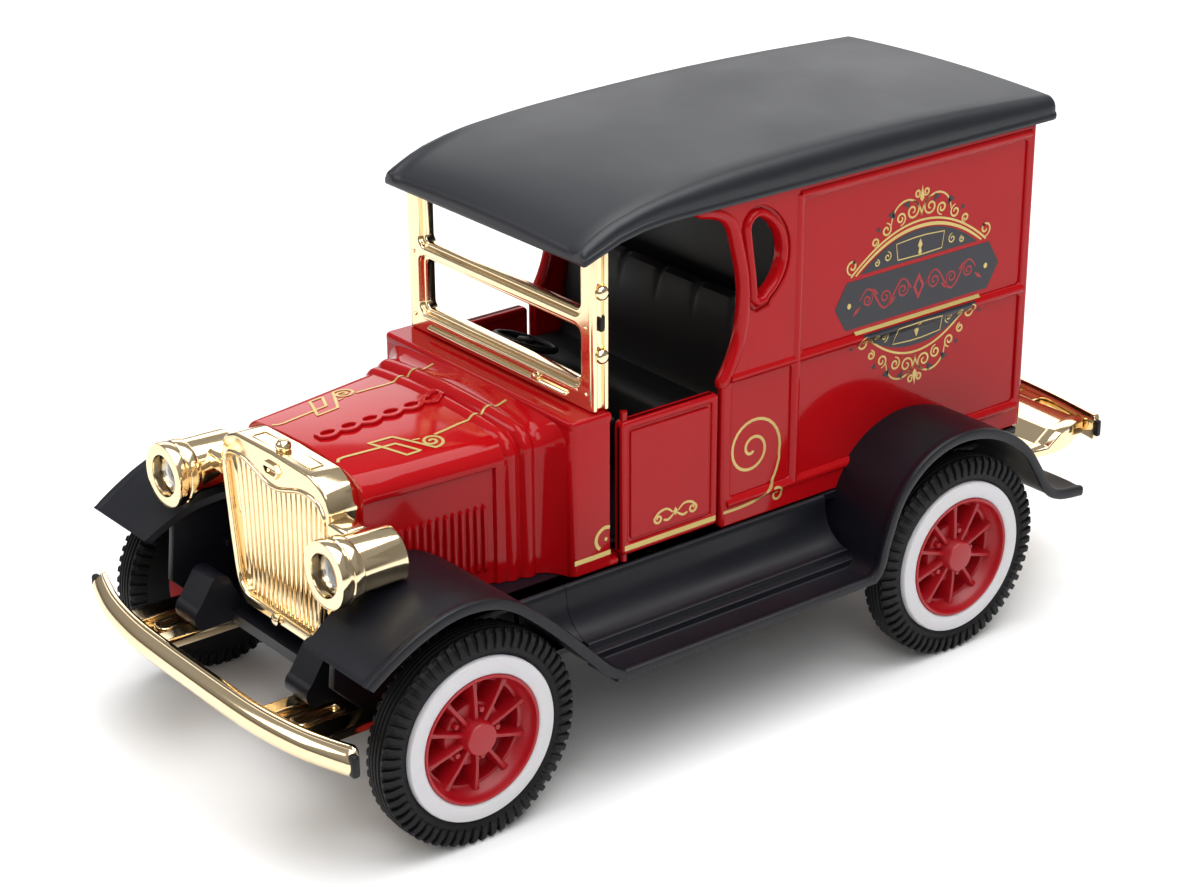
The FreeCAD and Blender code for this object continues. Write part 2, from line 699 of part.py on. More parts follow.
def headlamp_reflector():
    """Left plated bowl with the moulded bulb at its centre."""
    mouth = LAMP_FRONT_Y + 0.6
    bowl = Part.makeCone(LAMP_BORE, 1.6, 3.0, V(LAMP_X, mouth, LAMP_Z), Y_AXIS)
    bowl = bowl.cut(Part.makeCone(LAMP_BORE - 0.3, 0.8, 2.6, V(LAMP_X, mouth, LAMP_Z), Y_AXIS))
    bulb = Part.makeSphere(0.9, V(LAMP_X, mouth + 1.6, LAMP_Z))
    stem = rod_y(LAMP_X, LAMP_Z, 0.6, mouth + 1.6, mouth + 2.8)
    return joined([bowl, bulb, stem]).common(rod_y(LAMP_X, LAMP_Z, LAMP_BORE, -70, -57.6))


def headlamp_lens():
    """Left clear lens, slightly domed."""
    dome = Part.makeSphere(8.0, V(LAMP_X, LAMP_FRONT_Y - 1.4 + 8.0, LAMP_Z))
    disc = rod_y(LAMP_X, LAMP_Z, LAMP_BORE, LAMP_FRONT_Y - 1.6, LAMP_FRONT_Y + 0.4)
    return dome.common(disc)


def front_bumper():
    """Bowed bar with rounded edges and the two slotted arms that carry it."""
    crescent = outline(
        plan,
        (-32.2, -70.0),
        ((-24.8, -72.5), (-14.0, -73.9)),
        ((0, -BUMPER_REACH_Y), (14.0, -73.9)),
        ((24.8, -72.5), (32.2, -70.0)),
        ((33.0, -69.0), (32.0, -68.4)),
        ((24.2, -70.7), (14.0, -72.0)),
        ((0, -72.1), (-14.0, -72.0)),
        ((-24.2, -70.7), (-32.0, -68.4)),
        ((-33.0, -69.0), (-32.2, -70.0)),
    )
    bar = along_z(crescent, 15.0, 19.4)
    arm = box((11.6, 23.4), (-72.0, -56.8), (15.4, CHASSIS_BASE_Z))
    arm = arm.cut(box((14.4, 19.0), (-69.6, -60.0), (15, 18)))
    return joined([bar] + both(arm))


def rear_step():
    """Plated luggage step: a low ledge against the body and a raised deck."""
    profile = outline(
        side,
        (58.5, 20.6),
        (58.5, 22.0),
        (61.3, 22.0),
        (63.6, 23.8),
        (70.6, 23.8),
        (70.6, 22.4),
        (69.8, 20.6),
    )
    slab = along_x(profile, -26.0, 26.0)
    footprint = outline(
        plan, (-24.6, 58.0), (24.6, 58.0), (25.4, 63.0), (23.4, 71.0), (-23.4, 71.0), (-25.4, 63.0)
    )
    deck = slab.common(along_z(footprint, 10, 30))
    tongue = wide_box(15.0, (56.0, 60.0), (20.6, 22.0))
    floor_room = wide_box(24.0, (58.0, 69.4), (20.0, 20.7))
    return joined([deck, tongue]).cut(floor_room)


def rear_bumper():
    """Thin bowed channel across the tail, joined to the step by two stays."""
    crescent = outline(
        plan,
        (-26.0, 71.4),
        ((0, BUMPER_REACH_Y), (26.0, 71.4)),
        ((26.6, 70.9), (26.0, 70.4)),
        ((0, 72.9), (-26.0, 70.4)),
        ((-26.6, 70.9), (-26.0, 71.4)),
    )
    bar = along_z(crescent, 20.9, 24.9)
    stay = box((9.0, 13.0), (70.6, 73.0), (21.6, 23.4))
    return joined([bar] + both(stay))


# ---------------------------------------------------------------- wheels


def ring_x(start, *steps):
    """Solid turned about the X axis from a half outline of x and radius."""
    return outline(front, start, *steps).revolve(V(0, 0, 0), X_AXIS, 360)


def tyre():
    body = ring_x(
        (TYRE_INNER_X, RIM_RADIUS),
        (TYRE_INNER_X, 13.0),
        ((29.1, 14.5), (30.0, TYRE_RADIUS)),
        (32.6, TYRE_RADIUS),
        ((33.4, 14.5), (TYRE_OUTER_X, 13.0)),
        (TYRE_OUTER_X, WHITE_RING_RADIUS),
        (WHITE_RING_SEAT_X, WHITE_RING_RADIUS),
        (WHITE_RING_SEAT_X, RIM_RADIUS),
    )
    for index in range(4):
        x = 30.25 + 0.62 * index
        groove = ring_x((x, 14.4), (x + 0.26, 14.4), (x + 0.26, 16.0), (x, 16.0))
        body = body.cut(groove)
    return body


def whitewall():
    return ring_x(
        (WHITE_RING_SEAT_X, RIM_RADIUS),
        (WHITE_RING_SEAT_X, WHITE_RING_RADIUS),
        (33.8, WHITE_RING_RADIUS),
        ((WHEEL_FACE_X, 10.2), (33.8, RIM_RADIUS)),
    )


def wheel():
    """Red spoked wheel: deep dish, closed back, flange with five studs and a hub cap."""
    barrel = ring_x(
        (TYRE_INNER_X, 7.6),
        (TYRE_INNER_X, RIM_RADIUS),
        (33.7, RIM_RADIUS),
        (33.7, DISH_RADIUS),
        (31.4, 7.6),
    )
    back = ring_x((TYRE_INNER_X, 0.6), (TYRE_INNER_X, 8.0), (29.4, 8.0), (29.4, 0.6))
    hub = rod_x(0, 0, HUB_RADIUS, TYRE_INNER_X, 33.2)
    flange = rod_x(0, 0, 4.4, 29.2, 30.2)
    spokes = []
    for index in range(SPOKE_COUNT):
        spoke = outline(side, (-0.62, 1.5), (0.62, 1.5), (0.36, 7.9), (-0.36, 7.9))
        spoke = along_x(spoke, 30.6, 31.8)
        spoke.rotate(V(0, 0, 0), X_AXIS, 360 / SPOKE_COUNT * index)
        spokes.append(spoke)
    studs = []
    for index in range(5):
        angle = math.radians(72 * index + 18)
        studs.append(rod_x(3.5 * math.cos(angle), 3.5 * math.sin(angle), 0.4, 30.0, 30.6))
    solid = joined([barrel, back, hub, flange] + spokes + studs)
    return solid.cut(rod_x(0, 0, AXLE_RADIUS, TYRE_INNER_X - 1, AXLE_HALF_LENGTH))


def placed_wheel(shape, centre_y):
    return shape.translated(V(0, centre_y, TYRE_RADIUS))


def axle(centre_y):
    return rod_x(centre_y, TYRE_RADIUS, AXLE_RADIUS, -AXLE_HALF_LENGTH, AXLE_HALF_LENGTH)


# ---------------------------------------------------------------- friction motor


def involute_flank(pitch_radius, teeth, root, tip):
    """Points of one tooth flank, from root to tip, with the tooth centred on angle zero."""
    base = pitch_radius * math.cos(PRESSURE_ANGLE)
    involute = math.tan(PRESSURE_ANGLE) - PRESSURE_ANGLE
    half_tooth = math.pi / (2 * teeth) - FLANK_RELIEF / pitch_radius
    points = []
    steps = 4
    for index in range(steps + 1):
        radius = max(base, root) + (tip - max(base, root)) * index / steps
        roll = math.sqrt(max(0.0, (radius / base) ** 2 - 1))
        angle = half_tooth + involute - (roll - math.atan(roll))
        points.append((radius, angle))
    if root < base:
        points.insert(0, (root, points[0][1]))
    return points


def gear(teeth, addendum, dedendum, centre, tooth_angle, low_x, high_x):
    """Spur gear on an X axis. tooth_angle is the direction of one tooth, from +Y towards +Z."""
    pitch_radius = MODULE * teeth / 2
    root_radius = pitch_radius - dedendum * MODULE
    tip_radius = pitch_radius + addendum * MODULE
    flank = involute_flank(pitch_radius, teeth, root_radius, tip_radius)
    corners = []
    for index in range(teeth):
        middle = tooth_angle + 2 * math.pi * index / teeth
        tooth = [(radius, middle - angle) for radius, angle in flank]
        tooth += [(radius, middle + angle) for radius, angle in reversed(flank)]
        corners += [
            V(0, centre[0] + radius * math.cos(angle), centre[1] + radius * math.sin(angle))
            for radius, angle in tooth
        ]
    blank = Part.Face(Part.makePolygon(corners + corners[:1]))
    return along_x(blank, low_x, high_x)


def drive_gear():
    """Gear pressed on the rear axle."""
    wheel_gear = gear(WHEEL_TEETH, 0.65, 1.25, AXLE_CENTRE, FIRST_MESH_ANGLE, -1.5, 1.0)
    hub = rod_x(*AXLE_CENTRE, 2.4, -3.0, 2.2)
    return joined([wheel_gear, hub]).cut(rod_x(*AXLE_CENTRE, AXLE_RADIUS, -10, 10))


def reduction_gear():
    """Large gear and pinion in one piece, running on a fixed pin."""
    half_pitch = math.pi / PINION_TEETH
    pinion = gear(
        PINION_TEETH, 1.0, 0.95, REDUCTION_CENTRE, FIRST_MESH_ANGLE + math.pi + half_pitch, -1.8, 1.3
    )
    large = gear(WHEEL_TEETH, 0.65, 1.25, REDUCTION_CENTRE, SECOND_MESH_ANGLE, -6.0, -3.5)
    neck = rod_x(*REDUCTION_CENTRE, 1.9, -3.6, -1.7)
    bore = rod_x(*REDUCTION_CENTRE, SHAFT_RADIUS + RUNNING_CLEARANCE, -10, 10)
    return joined([large, neck, pinion]).cut(bore)


def flywheel_pinion():
    half_pitch = math.pi / PINION_TEETH
    pinion = gear(
        PINION_TEETH, 1.0, 0.95, FLYWHEEL_CENTRE, SECOND_MESH_ANGLE + math.pi + half_pitch, -6.3, -3.2
    )
    return pinion.cut(rod_x(*FLYWHEEL_CENTRE, SHAFT_RADIUS, -10, 10))


def flywheel():
    """Heavy steel disc with a turned recess on each face."""
    disc = rod_x(*FLYWHEEL_CENTRE, FLYWHEEL_RADIUS, 2.2, 7.0)
    for low, high in ((1.0, 3.0), (6.2, 8.0)):
        recess = rod_x(*FLYWHEEL_CENTRE, 6.2, low, high).cut(rod_x(*FLYWHEEL_CENTRE, 2.2, low, high))
        disc = disc.cut(recess)
    return disc.cut(rod_x(*FLYWHEEL_CENTRE, SHAFT_RADIUS, 0, 10))


def flywheel_shaft():
    return rod_x(*FLYWHEEL_CENTRE, SHAFT_RADIUS, -8.9, 8.9)


def reduction_pin():
    return rod_x(*REDUCTION_CENTRE, SHAFT_RADIUS, -8.9, 8.9)


def case_outline(inset):
    """Side view of the motor case, with cut corners."""
    low_y, low_z = (value + inset for value in CASE_LOW)
    high_y, high_z = (value - inset for value in CASE_HIGH)
    corner = 1.6
    return outline(
        side,
        (low_y + corner, low_z),
        (high_y - corner, low_z),
        (high_y, low_z + corner),
        (high_y, high_z - corner),
        (high_y - corner, high_z),
        (low_y + corner, high_z),
        (low_y, high_z - corner),
        (low_y, low_z + corner),
    )


def case_half(inner_x, outer_x, boss_x):
    """One half of the motor case between the split and its side wall, with columns and tabs."""
    sign = 1 if outer_x > inner_x else -1
    low, high = sorted((inner_x, outer_x))
    shell = along_x(case_outline(0), low, high)
    hollow = sorted((inner_x - sign, outer_x - sign * CASE_WALL))
    shell = shell.cut(along_x(case_outline(CASE_WALL), *hollow))
    columns = [rod_x(y, z, CASE_COLUMN_RADIUS, low, high) for y, z in CASE_COLUMNS]
    tabs = []
    tab_base = CHASSIS_BASE_Z + CHASSIS_PLATE
    tab_across = sorted((outer_x - sign * 0.6, outer_x + sign * 4.4))
    for y in CASE_TABS_Y:
        tab = box(tab_across, (y - 2.2, y + 2.2), (tab_base, tab_base + 1.2))
        tabs.append(tab.cut(rod_z(outer_x + sign * 2.2, y, SCREW_RADIUS, tab_base - 1, tab_base + 3)))
    boss = rod_x(*REDUCTION_CENTRE, 1.2, *sorted((boss_x, outer_x)))
    solid = joined([shell] + columns + tabs + [boss])
    through = (-CASE_HALF_WIDTH - 1, CASE_HALF_WIDTH + 1)
    bores = [
        rod_x(*AXLE_CENTRE, AXLE_RADIUS + RUNNING_CLEARANCE, *through),
        rod_x(*FLYWHEEL_CENTRE, SHAFT_RADIUS + RUNNING_CLEARANCE, *through),
        rod_x(*REDUCTION_CENTRE, SHAFT_RADIUS, *through),
    ]
    bores += [rod_x(y, z, 0.7, -CASE_HALF_WIDTH - 1, 7.0) for y, z in CASE_COLUMNS]
    return cut_all(solid, bores)


def case_screws():
    """Four screws that hold the motor case's halves together."""
    screws = []
    for y, z in CASE_COLUMNS:
        head = rod_x(y, z, 1.4, -CASE_HALF_WIDTH - 1.0, -CASE_HALF_WIDTH)
        head = head.cut(box((-11, -CASE_HALF_WIDTH - 0.5), (y - 1.0, y + 1.0), (z - 0.2, z + 0.2)))
        screws.append(head.fuse(rod_x(y, z, 0.7, -CASE_HALF_WIDTH, 6.6)))
    return Part.makeCompound(screws)


# ---------------------------------------------------------------- assembly


def nodes():
    """Every separate piece by name."""
    pieces = {
        "body_shell": body_shell(),
        "roof": roof(),
        "windshield_frame": windshield_frame(),
        "cab_interior": cab_interior(),
        "steering_wheel": steering_wheel(),
        "chassis": chassis(),
        "axle_clip": axle_clip(),
        "radiator_shell": radiator_shell(),
        "radiator_grille": radiator_grille(),
        "front_bumper": front_bumper(),
        "rear_step": rear_step(),
        "rear_bumper": rear_bumper(),
        "front_axle": axle(FRONT_AXLE_Y),
        "rear_axle": axle(REAR_AXLE_Y),
        "drive_gear": drive_gear(),
        "reduction_gear": reduction_gear(),
        "reduction_pin": reduction_pin(),
        "flywheel": flywheel(),
        "flywheel_pinion": flywheel_pinion(),
        "flywheel_shaft": flywheel_shaft(),
        "motor_case_left": case_half(0.0, CASE_HALF_WIDTH, 1.5),
        "motor_case_right": case_half(0.0, -CASE_HALF_WIDTH, -6.2),
        "case_screws": case_screws(),
        "motor_mount_screws": motor_mount_screws(),
        "body_screws": body_screws(),
    }
    handed = {
        "door": door(),
        "door_hinge_pin": door_hinge_pin(),
        "wing": wing_unit(),
        "headlamp_can": headlamp_can(),
        "headlamp_reflector": headlamp_reflector(),
        "headlamp_lens": headlamp_lens(),
    }
    for place, centre_y in (("front", FRONT_AXLE_Y), ("rear", REAR_AXLE_Y)):
        handed[f"{place}_tyre"] = placed_wheel(tyre(), centre_y)
        handed[f"{place}_whitewall"] = placed_wheel(whitewall(), centre_y)
        handed[f"{place}_wheel"] = placed_wheel(wheel(), centre_y)
    for name, shape in handed.items():
        pieces[f"{name}_left"] = shape
        pieces[f"{name}_right"] = mirrored(shape)
    return pieces


def main():
    os.makedirs("parts", exist_ok=True)
    for name, shape in nodes().items():
        print(f"{name}: {len(shape.Solids)} solid, {shape.Volume:.1f} mm3, valid {shape.isValid()}")
        shape.exportStep(f"parts/{name}.step")


main()
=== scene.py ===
import json
import logging
import math
from dataclasses import dataclass, field
from enum import Enum
from typing import Any, Callable, Sequence

import bmesh
import bpy
from mathutils import Matrix, Vector
from mathutils.geometry import tessellate_polygon

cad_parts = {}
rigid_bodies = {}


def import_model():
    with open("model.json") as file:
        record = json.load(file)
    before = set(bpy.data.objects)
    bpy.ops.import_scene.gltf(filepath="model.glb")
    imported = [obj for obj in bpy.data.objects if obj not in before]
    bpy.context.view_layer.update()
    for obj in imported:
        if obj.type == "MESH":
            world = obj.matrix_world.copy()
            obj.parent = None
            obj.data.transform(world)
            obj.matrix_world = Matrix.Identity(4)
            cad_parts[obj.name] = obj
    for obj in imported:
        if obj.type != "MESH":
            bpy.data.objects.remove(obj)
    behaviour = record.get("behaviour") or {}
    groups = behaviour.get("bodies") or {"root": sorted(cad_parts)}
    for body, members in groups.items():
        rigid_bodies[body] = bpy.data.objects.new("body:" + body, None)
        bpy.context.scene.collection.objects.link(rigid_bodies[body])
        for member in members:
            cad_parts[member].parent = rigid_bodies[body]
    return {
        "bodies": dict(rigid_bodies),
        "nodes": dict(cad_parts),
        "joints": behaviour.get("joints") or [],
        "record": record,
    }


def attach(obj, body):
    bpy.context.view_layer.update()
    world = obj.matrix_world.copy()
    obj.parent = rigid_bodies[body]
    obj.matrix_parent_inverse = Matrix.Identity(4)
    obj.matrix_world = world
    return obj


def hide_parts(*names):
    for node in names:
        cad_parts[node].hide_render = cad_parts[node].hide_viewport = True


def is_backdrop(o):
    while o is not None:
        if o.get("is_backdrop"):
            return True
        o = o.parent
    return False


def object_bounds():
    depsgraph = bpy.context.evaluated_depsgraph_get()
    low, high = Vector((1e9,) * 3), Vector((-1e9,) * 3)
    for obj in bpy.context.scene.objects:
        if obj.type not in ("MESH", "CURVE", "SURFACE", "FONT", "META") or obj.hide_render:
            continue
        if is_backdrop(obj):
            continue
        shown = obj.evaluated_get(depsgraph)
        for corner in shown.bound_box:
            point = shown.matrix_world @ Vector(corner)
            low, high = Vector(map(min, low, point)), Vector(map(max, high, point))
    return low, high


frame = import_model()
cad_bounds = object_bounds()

LOG = logging.getLogger("van")
MM = 0.001
# Width of the flat loop inside every rounded edge, which keeps the shading of the flat face flat.
HOLD = 0.06
Point2 = tuple[float, float]
Point3 = tuple[float, float, float]
Loop = Sequence[Point2]
# A rule that puts (u, v, height) in the van's frame.
Place = Callable[[float, float, float], Point3]
# Points closer than this are one, and edges shorter than SLIVER go, both in metres.
WELD = 2e-7
SLIVER = 1e-8
# How far a bead is rooted in its wall, and how full its round is.
ROOT = 0.3
FULLNESS = 0.65
# Corners straighter than this get no fillet.
STRAIGHT = math.radians(88)


class Side(Enum):
    """A side of the van, as someone in the cab has it."""

    LEFT = "left"
    RIGHT = "right"


class End(Enum):
    """An end of the van."""

    FRONT = "front"
    REAR = "rear"


# ---- shapes in millimetres


@dataclass
class Shape:
    """Points and faces in millimetres, gathered before they become one mesh."""

    points: list[Point3] = field(default_factory=list)
    faces: list[tuple[int, ...]] = field(default_factory=list)

    def add(self, *others: "Shape") -> "Shape":
        """Adds other shapes' points and faces to this one, and returns it."""
        for other in others:
            base = len(self.points)
            self.points += other.points
            self.faces += [tuple(base + index for index in face) for face in other.faces]
        return self

    def mapped(self, rule: Place) -> "Shape":
        """A copy whose every point has gone through the rule."""
        return Shape([rule(*point) for point in self.points], list(self.faces))

    def moved(self, x: float = 0, y: float = 0, z: float = 0) -> "Shape":
        """A copy shifted by x, y and z."""
        return self.mapped(lambda a, b, c: (a + x, b + y, c + z))

    def mirrored(self) -> "Shape":
        """The same shape on the van's other side."""
        return self.mapped(lambda x, y, z: (-x, y, z))

    def both_sides(self) -> "Shape":
        """This shape and its mirror image."""
        return Shape().add(self, self.mirrored())

    def on(self, side: Side) -> "Shape":
        """This left-hand shape on the asked side."""
        return self if side is Side.LEFT else self.mirrored()


def side_place(x: float) -> Place:
    """Puts a (y, z) outline on a plane that faces +X, raised by its height."""
    return lambda y, z, height: (x + height, y, z)


def front_place(y: float) -> Place:
    """Puts an (x, z) outline on a plane that faces the front, raised by its height."""
    return lambda x, z, height: (x, y - height, z)


def rear_place(y: float) -> Place:
    """Puts an (x, z) outline on a plane that faces the rear, raised by its height."""
    return lambda x, z, height: (x, y + height, z)


def top_place(z: float) -> Place:
    """Puts an (x, y) outline on a plane that faces up, raised by its height."""
    return lambda x, y, height: (x, y, z + height)


def arc(start: Point2, middle: Point2, end: Point2, steps: int = 10) -> list[Point2]:
    """Points of the circular arc through three points, both ends included."""
    (ax, ay), (bx, by), (cx, cy) = start, middle, end
    double = 2 * (ax * (by - cy) + bx * (cy - ay) + cx * (ay - by))
    a2, b2, c2 = ax * ax + ay * ay, bx * bx + by * by, cx * cx + cy * cy
    centre_x = (a2 * (by - cy) + b2 * (cy - ay) + c2 * (ay - by)) / double
    centre_y = (a2 * (cx - bx) + b2 * (ax - cx) + c2 * (bx - ax)) / double
    radius = math.hypot(ax - centre_x, ay - centre_y)
    first = math.atan2(ay - centre_y, ax - centre_x)
    turn_middle = (math.atan2(by - centre_y, bx - centre_x) - first) % math.tau
    turn = (math.atan2(cy - centre_y, cx - centre_x) - first) % math.tau
    if turn_middle > turn:
        turn -= math.tau
    angles = [first + turn * index / steps for index in range(steps + 1)]
    return [(centre_x + radius * math.cos(a), centre_y + radius * math.sin(a)) for a in angles]


def way_at(path: Sequence[Sequence[float]], index: int) -> Vector:
    """Direction of a path at one of its points."""
    return (Vector(path[min(len(path) - 1, index + 1)]) - Vector(path[max(0, index - 1)])).normalized()


def smooth_path(knots: Loop, steps: int = 6) -> list[Point2]:
    """Points of a Catmull-Rom curve that passes through the knots."""
    ends = [knots[0], *knots, knots[-1]]
    points: list[Point2] = []
    for index in range(1, len(ends) - 2):
        before, here, there, after = ends[index - 1 : index + 3]
        for step in range(steps):
            t = step / steps
            weights = (-0.5 * t + t * t - 0.5 * t**3, 1 - 2.5 * t * t + 1.5 * t**3,
                0.5 * t + 2 * t * t - 1.5 * t**3, -0.5 * t * t + 0.5 * t**3)
            corners = (before, here, there, after)
            x = sum(w * corner[0] for w, corner in zip(weights, corners))
            y = sum(w * corner[1] for w, corner in zip(weights, corners))
            points.append((x, y))
    return points + [knots[-1]]


def between(table: Sequence[Sequence[float]], at: float) -> list[float]:
    """A table's values at a place, where each row starts with its own place."""
    for before, after in zip(table, table[1:]):
        if at <= after[0]:
            share = max(0, (at - before[0]) / (after[0] - before[0]))
            return [a + (b - a) * share for a, b in zip(before[1:], after[1:])]
    return list(table[-1][1:])


def rounded(corners: Sequence[Point3], steps: int = 5) -> list[Point2]:
    """Closed outline from corners of (u, v, fillet radius), each fillet drawn as an arc."""
    outline: list[Point2] = []
    count = len(corners)
    for index, (u, v, radius) in enumerate(corners):
        here = Vector((u, v))
        to_before = (Vector(corners[index - 1][:2]) - here).normalized()
        to_after = (Vector(corners[(index + 1) % count][:2]) - here).normalized()
        half = to_before.angle(to_after) / 2
        if radius <= 0 or half > STRAIGHT:
            outline.append((u, v))
            continue
        reach = radius / math.tan(half)
        start, end = here + to_before * reach, here + to_after * reach
        centre = here + (to_before + to_after).normalized() * (radius / math.sin(half))
        middle = centre + (here - centre).normalized() * radius
        outline += arc(tuple(start), tuple(middle), tuple(end), steps)
    return outline


def slab_outline(u: Point2, v: Point2, radius: float) -> list[Point2]:
    """Rounded rectangle, anticlockwise."""
    return rounded([(u[0], v[0], radius), (u[1], v[0], radius), (u[1], v[1], radius), (u[0], v[1], radius)])


def turned_way(loop: Loop, anticlockwise: bool) -> list[Point2]:
    """The loop's points in the asked direction."""
    area = sum(a[0] * b[1] - b[0] * a[1] for a, b in zip(loop, [*loop[1:], loop[0]]))
    return list(loop) if (area > 0) == anticlockwise else list(loop)[::-1]


def inset(loop: Loop, distance: float) -> list[Point2]:
    """Moves an anticlockwise loop's edges inwards, or a clockwise one's outwards."""
    result: list[Point2] = []
    for index, here in enumerate(loop):
        before, after = Vector(loop[index - 1]), Vector(loop[(index + 1) % len(loop)])
        first = (Vector(here) - before).normalized()
        second = (after - Vector(here)).normalized()
        normals = Vector((-first.y - second.y, first.x + second.x))
        spread = max(0.35, 1 + first.dot(second))
        result.append((here[0] + normals.x * distance / spread, here[1] + normals.y * distance / spread))
    return result


def loft(rings: Sequence[Sequence[Point3]], closed: bool = True, capped: bool = True,
        looped: bool = False) -> Shape:
    """Skin over a run of rings.

    Args:
        rings: rings with the same number of points.
        closed: joins each ring's last point to its first.
        capped: closes the first and last ring with a face.
        looped: joins the last ring to the first.
    Returns:
        The skin as a shape.
    """
    count = len(rings[0])
    faces: list[tuple[int, ...]] = []
    pairs = [(row, row + 1) for row in range(len(rings) - 1)]
    if looped:
        pairs.append((len(rings) - 1, 0))
    for row, after in pairs:
        for column in range(count if closed else count - 1):
            other = (column + 1) % count
            faces.append((row * count + column, row * count + other, after * count + other,
                after * count + column))
    if capped and not looped:
        last = (len(rings) - 1) * count
        faces.append(tuple(range(count))[::-1])
        faces.append(tuple(range(last, last + count)))
    return Shape([tuple(point) for ring in rings for point in ring], faces)


def plate(outer: Loop, holes: Sequence[Loop], thickness: Point2, radius: float, place: Place,
        steps: int = 3) -> Shape:
    """Flat plate with holes whose edges are all rounded.

    Args:
        outer: outline of the plate.
        holes: outlines of its holes.
        thickness: lowest and highest height of the plate.
        radius: radius of every edge.
        place: rule that puts (u, v, height) in the van's frame.
        steps: faces in each rounded edge.
    Returns:
        The closed plate.
    """
    low, high = thickness
    quarter = [math.pi / 2 * index / steps for index in range(steps + 1)]
    levels = [(radius + HOLD, low)]
    levels += [(radius * (1 - math.sin(angle)), low + radius * (1 - math.cos(angle))) for angle in quarter]
    levels += [(distance, low + high - height) for distance, height in reversed(levels)]
    loops = [turned_way(outer, True)] + [turned_way(hole, False) for hole in holes]
    shape = Shape()
    first_ring: list[int] = []
    last_ring: list[int] = []
    for loop in loops:
        rings = [[place(u, v, height) for u, v in inset(loop, distance)] for distance, height in levels]
        base = len(shape.points)
        shape.add(loft(rings, capped=False))
        first_ring += list(range(base, base + len(loop)))
        last = base + len(loop) * (len(levels) - 1)
        last_ring += list(range(last, last + len(loop)))
    flat = [[Vector((u, v, 0)) for u, v in inset(loop, radius + HOLD)] for loop in loops]
    for triangle in tessellate_polygon(flat):
        shape.faces.append(tuple(first_ring[index] for index in triangle))
        shape.faces.append(tuple(last_ring[index] for index in reversed(triangle)))
    return shape


def block(x: Point2, y: Point2, z: Point2, radius: float = 0.3, corner: float = 0) -> Shape:
    """Rounded block: upright corners of radius corner, and all other edges of radius."""
    return plate(slab_outline(x, y, max(corner, radius)), [], z, radius, top_place(0))


class Axis(Enum):
    """The direction that a turned piece's axis runs in."""

    X = 0
    Y = 1
    Z = 2


def turned(profile: Loop, axis: Axis, centre: Point3 = (0, 0, 0), around: int = 64) -> Shape:
    """Turned piece from a closed profile of (along, radius), or one that ends on its axis."""
    on_axis = min(profile[0][1], profile[-1][1]) < 1e-6
    rings = []
    for along, radius in profile:
        ring = []
        for index in range(around):
            angle = math.tau * index / around
            a, b = radius * math.cos(angle), radius * math.sin(angle)
            point = ((along, a, b), (a, along, b), (a, b, along))[axis.value]
            ring.append(tuple(p + c for p, c in zip(point, centre)))
        rings.append(ring)
    return loft(rings, capped=False, looped=not on_axis)


def swept(path: Loop, section: Loop, z: float, ends: Loop = ()) -> Shape:
    """A section of (outwards, up) carried along a level path of (x, y).

    Args:
        path: the path, with its outer side on the right when walking along it.
        section: closed outline of the bar.
        z: height of the section's zero.
        ends: (setback, size) of the extra rings that round each end, from the end inwards.
    Returns:
        The closed bar.
    """
    rings = []
    for index, (x, y) in enumerate(path):
        way = way_at(path, index)
        outwards = Vector((way.y, -way.x))
        rings.append([(x + outwards.x * a, y + outwards.y * a, z + b) for a, b in section])
    for at_start in (True, False):
        edge = rings[0] if at_start else rings[-1]
        far, near = (path[0], path[1]) if at_start else (path[-1], path[-2])
        way = (Vector(far) - Vector(near)).normalized()
        middle = [sum(point[axis] for point in edge) / len(edge) for axis in range(3)]
        for reach, size in ends:
            shift = (way.x * reach, way.y * reach, 0)
            ring = [tuple(m + (a - m) * size + b for a, m, b in zip(point, middle, shift)) for point in edge]
            rings = [ring, *rings] if at_start else [*rings, ring]
    return loft(rings)


def tube(path: Sequence[Point3], radius: float, sides: int = 10) -> Shape:
    """Round rod along a path of points, with domed ends."""
    rings = []
    for index, point in enumerate(path):
        way = way_at(path, index)
        first = way.orthogonal().normalized() if index == 0 else (last - way * last.dot(way)).normalized()
        last = first
        second = way.cross(first)
        angles = [math.tau * side / sides for side in range(sides)]
        rings.append([Vector(point) + (first * math.cos(a) + second * math.sin(a)) * radius for a in angles])
    for at_start in (True, False):
        edge, tip = (rings[0], Vector(path[0])) if at_start else (rings[-1], Vector(path[-1]))
        inner = Vector(path[1]) if at_start else Vector(path[-2])
        way = (tip - inner).normalized()
        for angle in (0.6, 1.1):
            ring = [tip + (p - tip) * math.cos(angle) + way * radius * math.sin(angle) for p in edge]
            rings = [ring, *rings] if at_start else [*rings, ring]
    return loft([[tuple(point) for point in ring] for ring in rings])


def ribbon(path: Loop, widths: Sequence[float], place: Place, thickness: float) -> Shape:
    """Flat printed line that follows a path, with its own width at each point."""
    rings = []
    for index, (u, v) in enumerate(path):
        way = way_at(path, index)
        across = Vector((-way.y, way.x)) * widths[index] / 2
        left, right = (u + across.x, v + across.y), (u - across.x, v - across.y)
        rings.append([place(*left, 0), place(*right, 0), place(*right, thickness), place(*left, thickness)])
    return loft(rings)


# ---- repeats with Geometry Nodes


def add_node(tree: bpy.types.NodeTree, kind: str, inputs: dict[Any, Any] | None = None,
        **settings: Any) -> bpy.types.Node:
    """Adds a node to a tree.

    Args:
        tree: the tree.
        kind: the node's type name.
        inputs: input name or number to a value or to the socket that feeds it.
        settings: properties of the node itself.
    Returns:
        The new node.
    """
    made = tree.nodes.new(kind)
    for key, value in settings.items():
        setattr(made, key, value)
    for key, value in (inputs or {}).items():
        socket = made.inputs[key]
        if isinstance(value, bpy.types.NodeSocket):
            tree.links.new(value, socket)
        else:
            socket.default_value = value
    return made


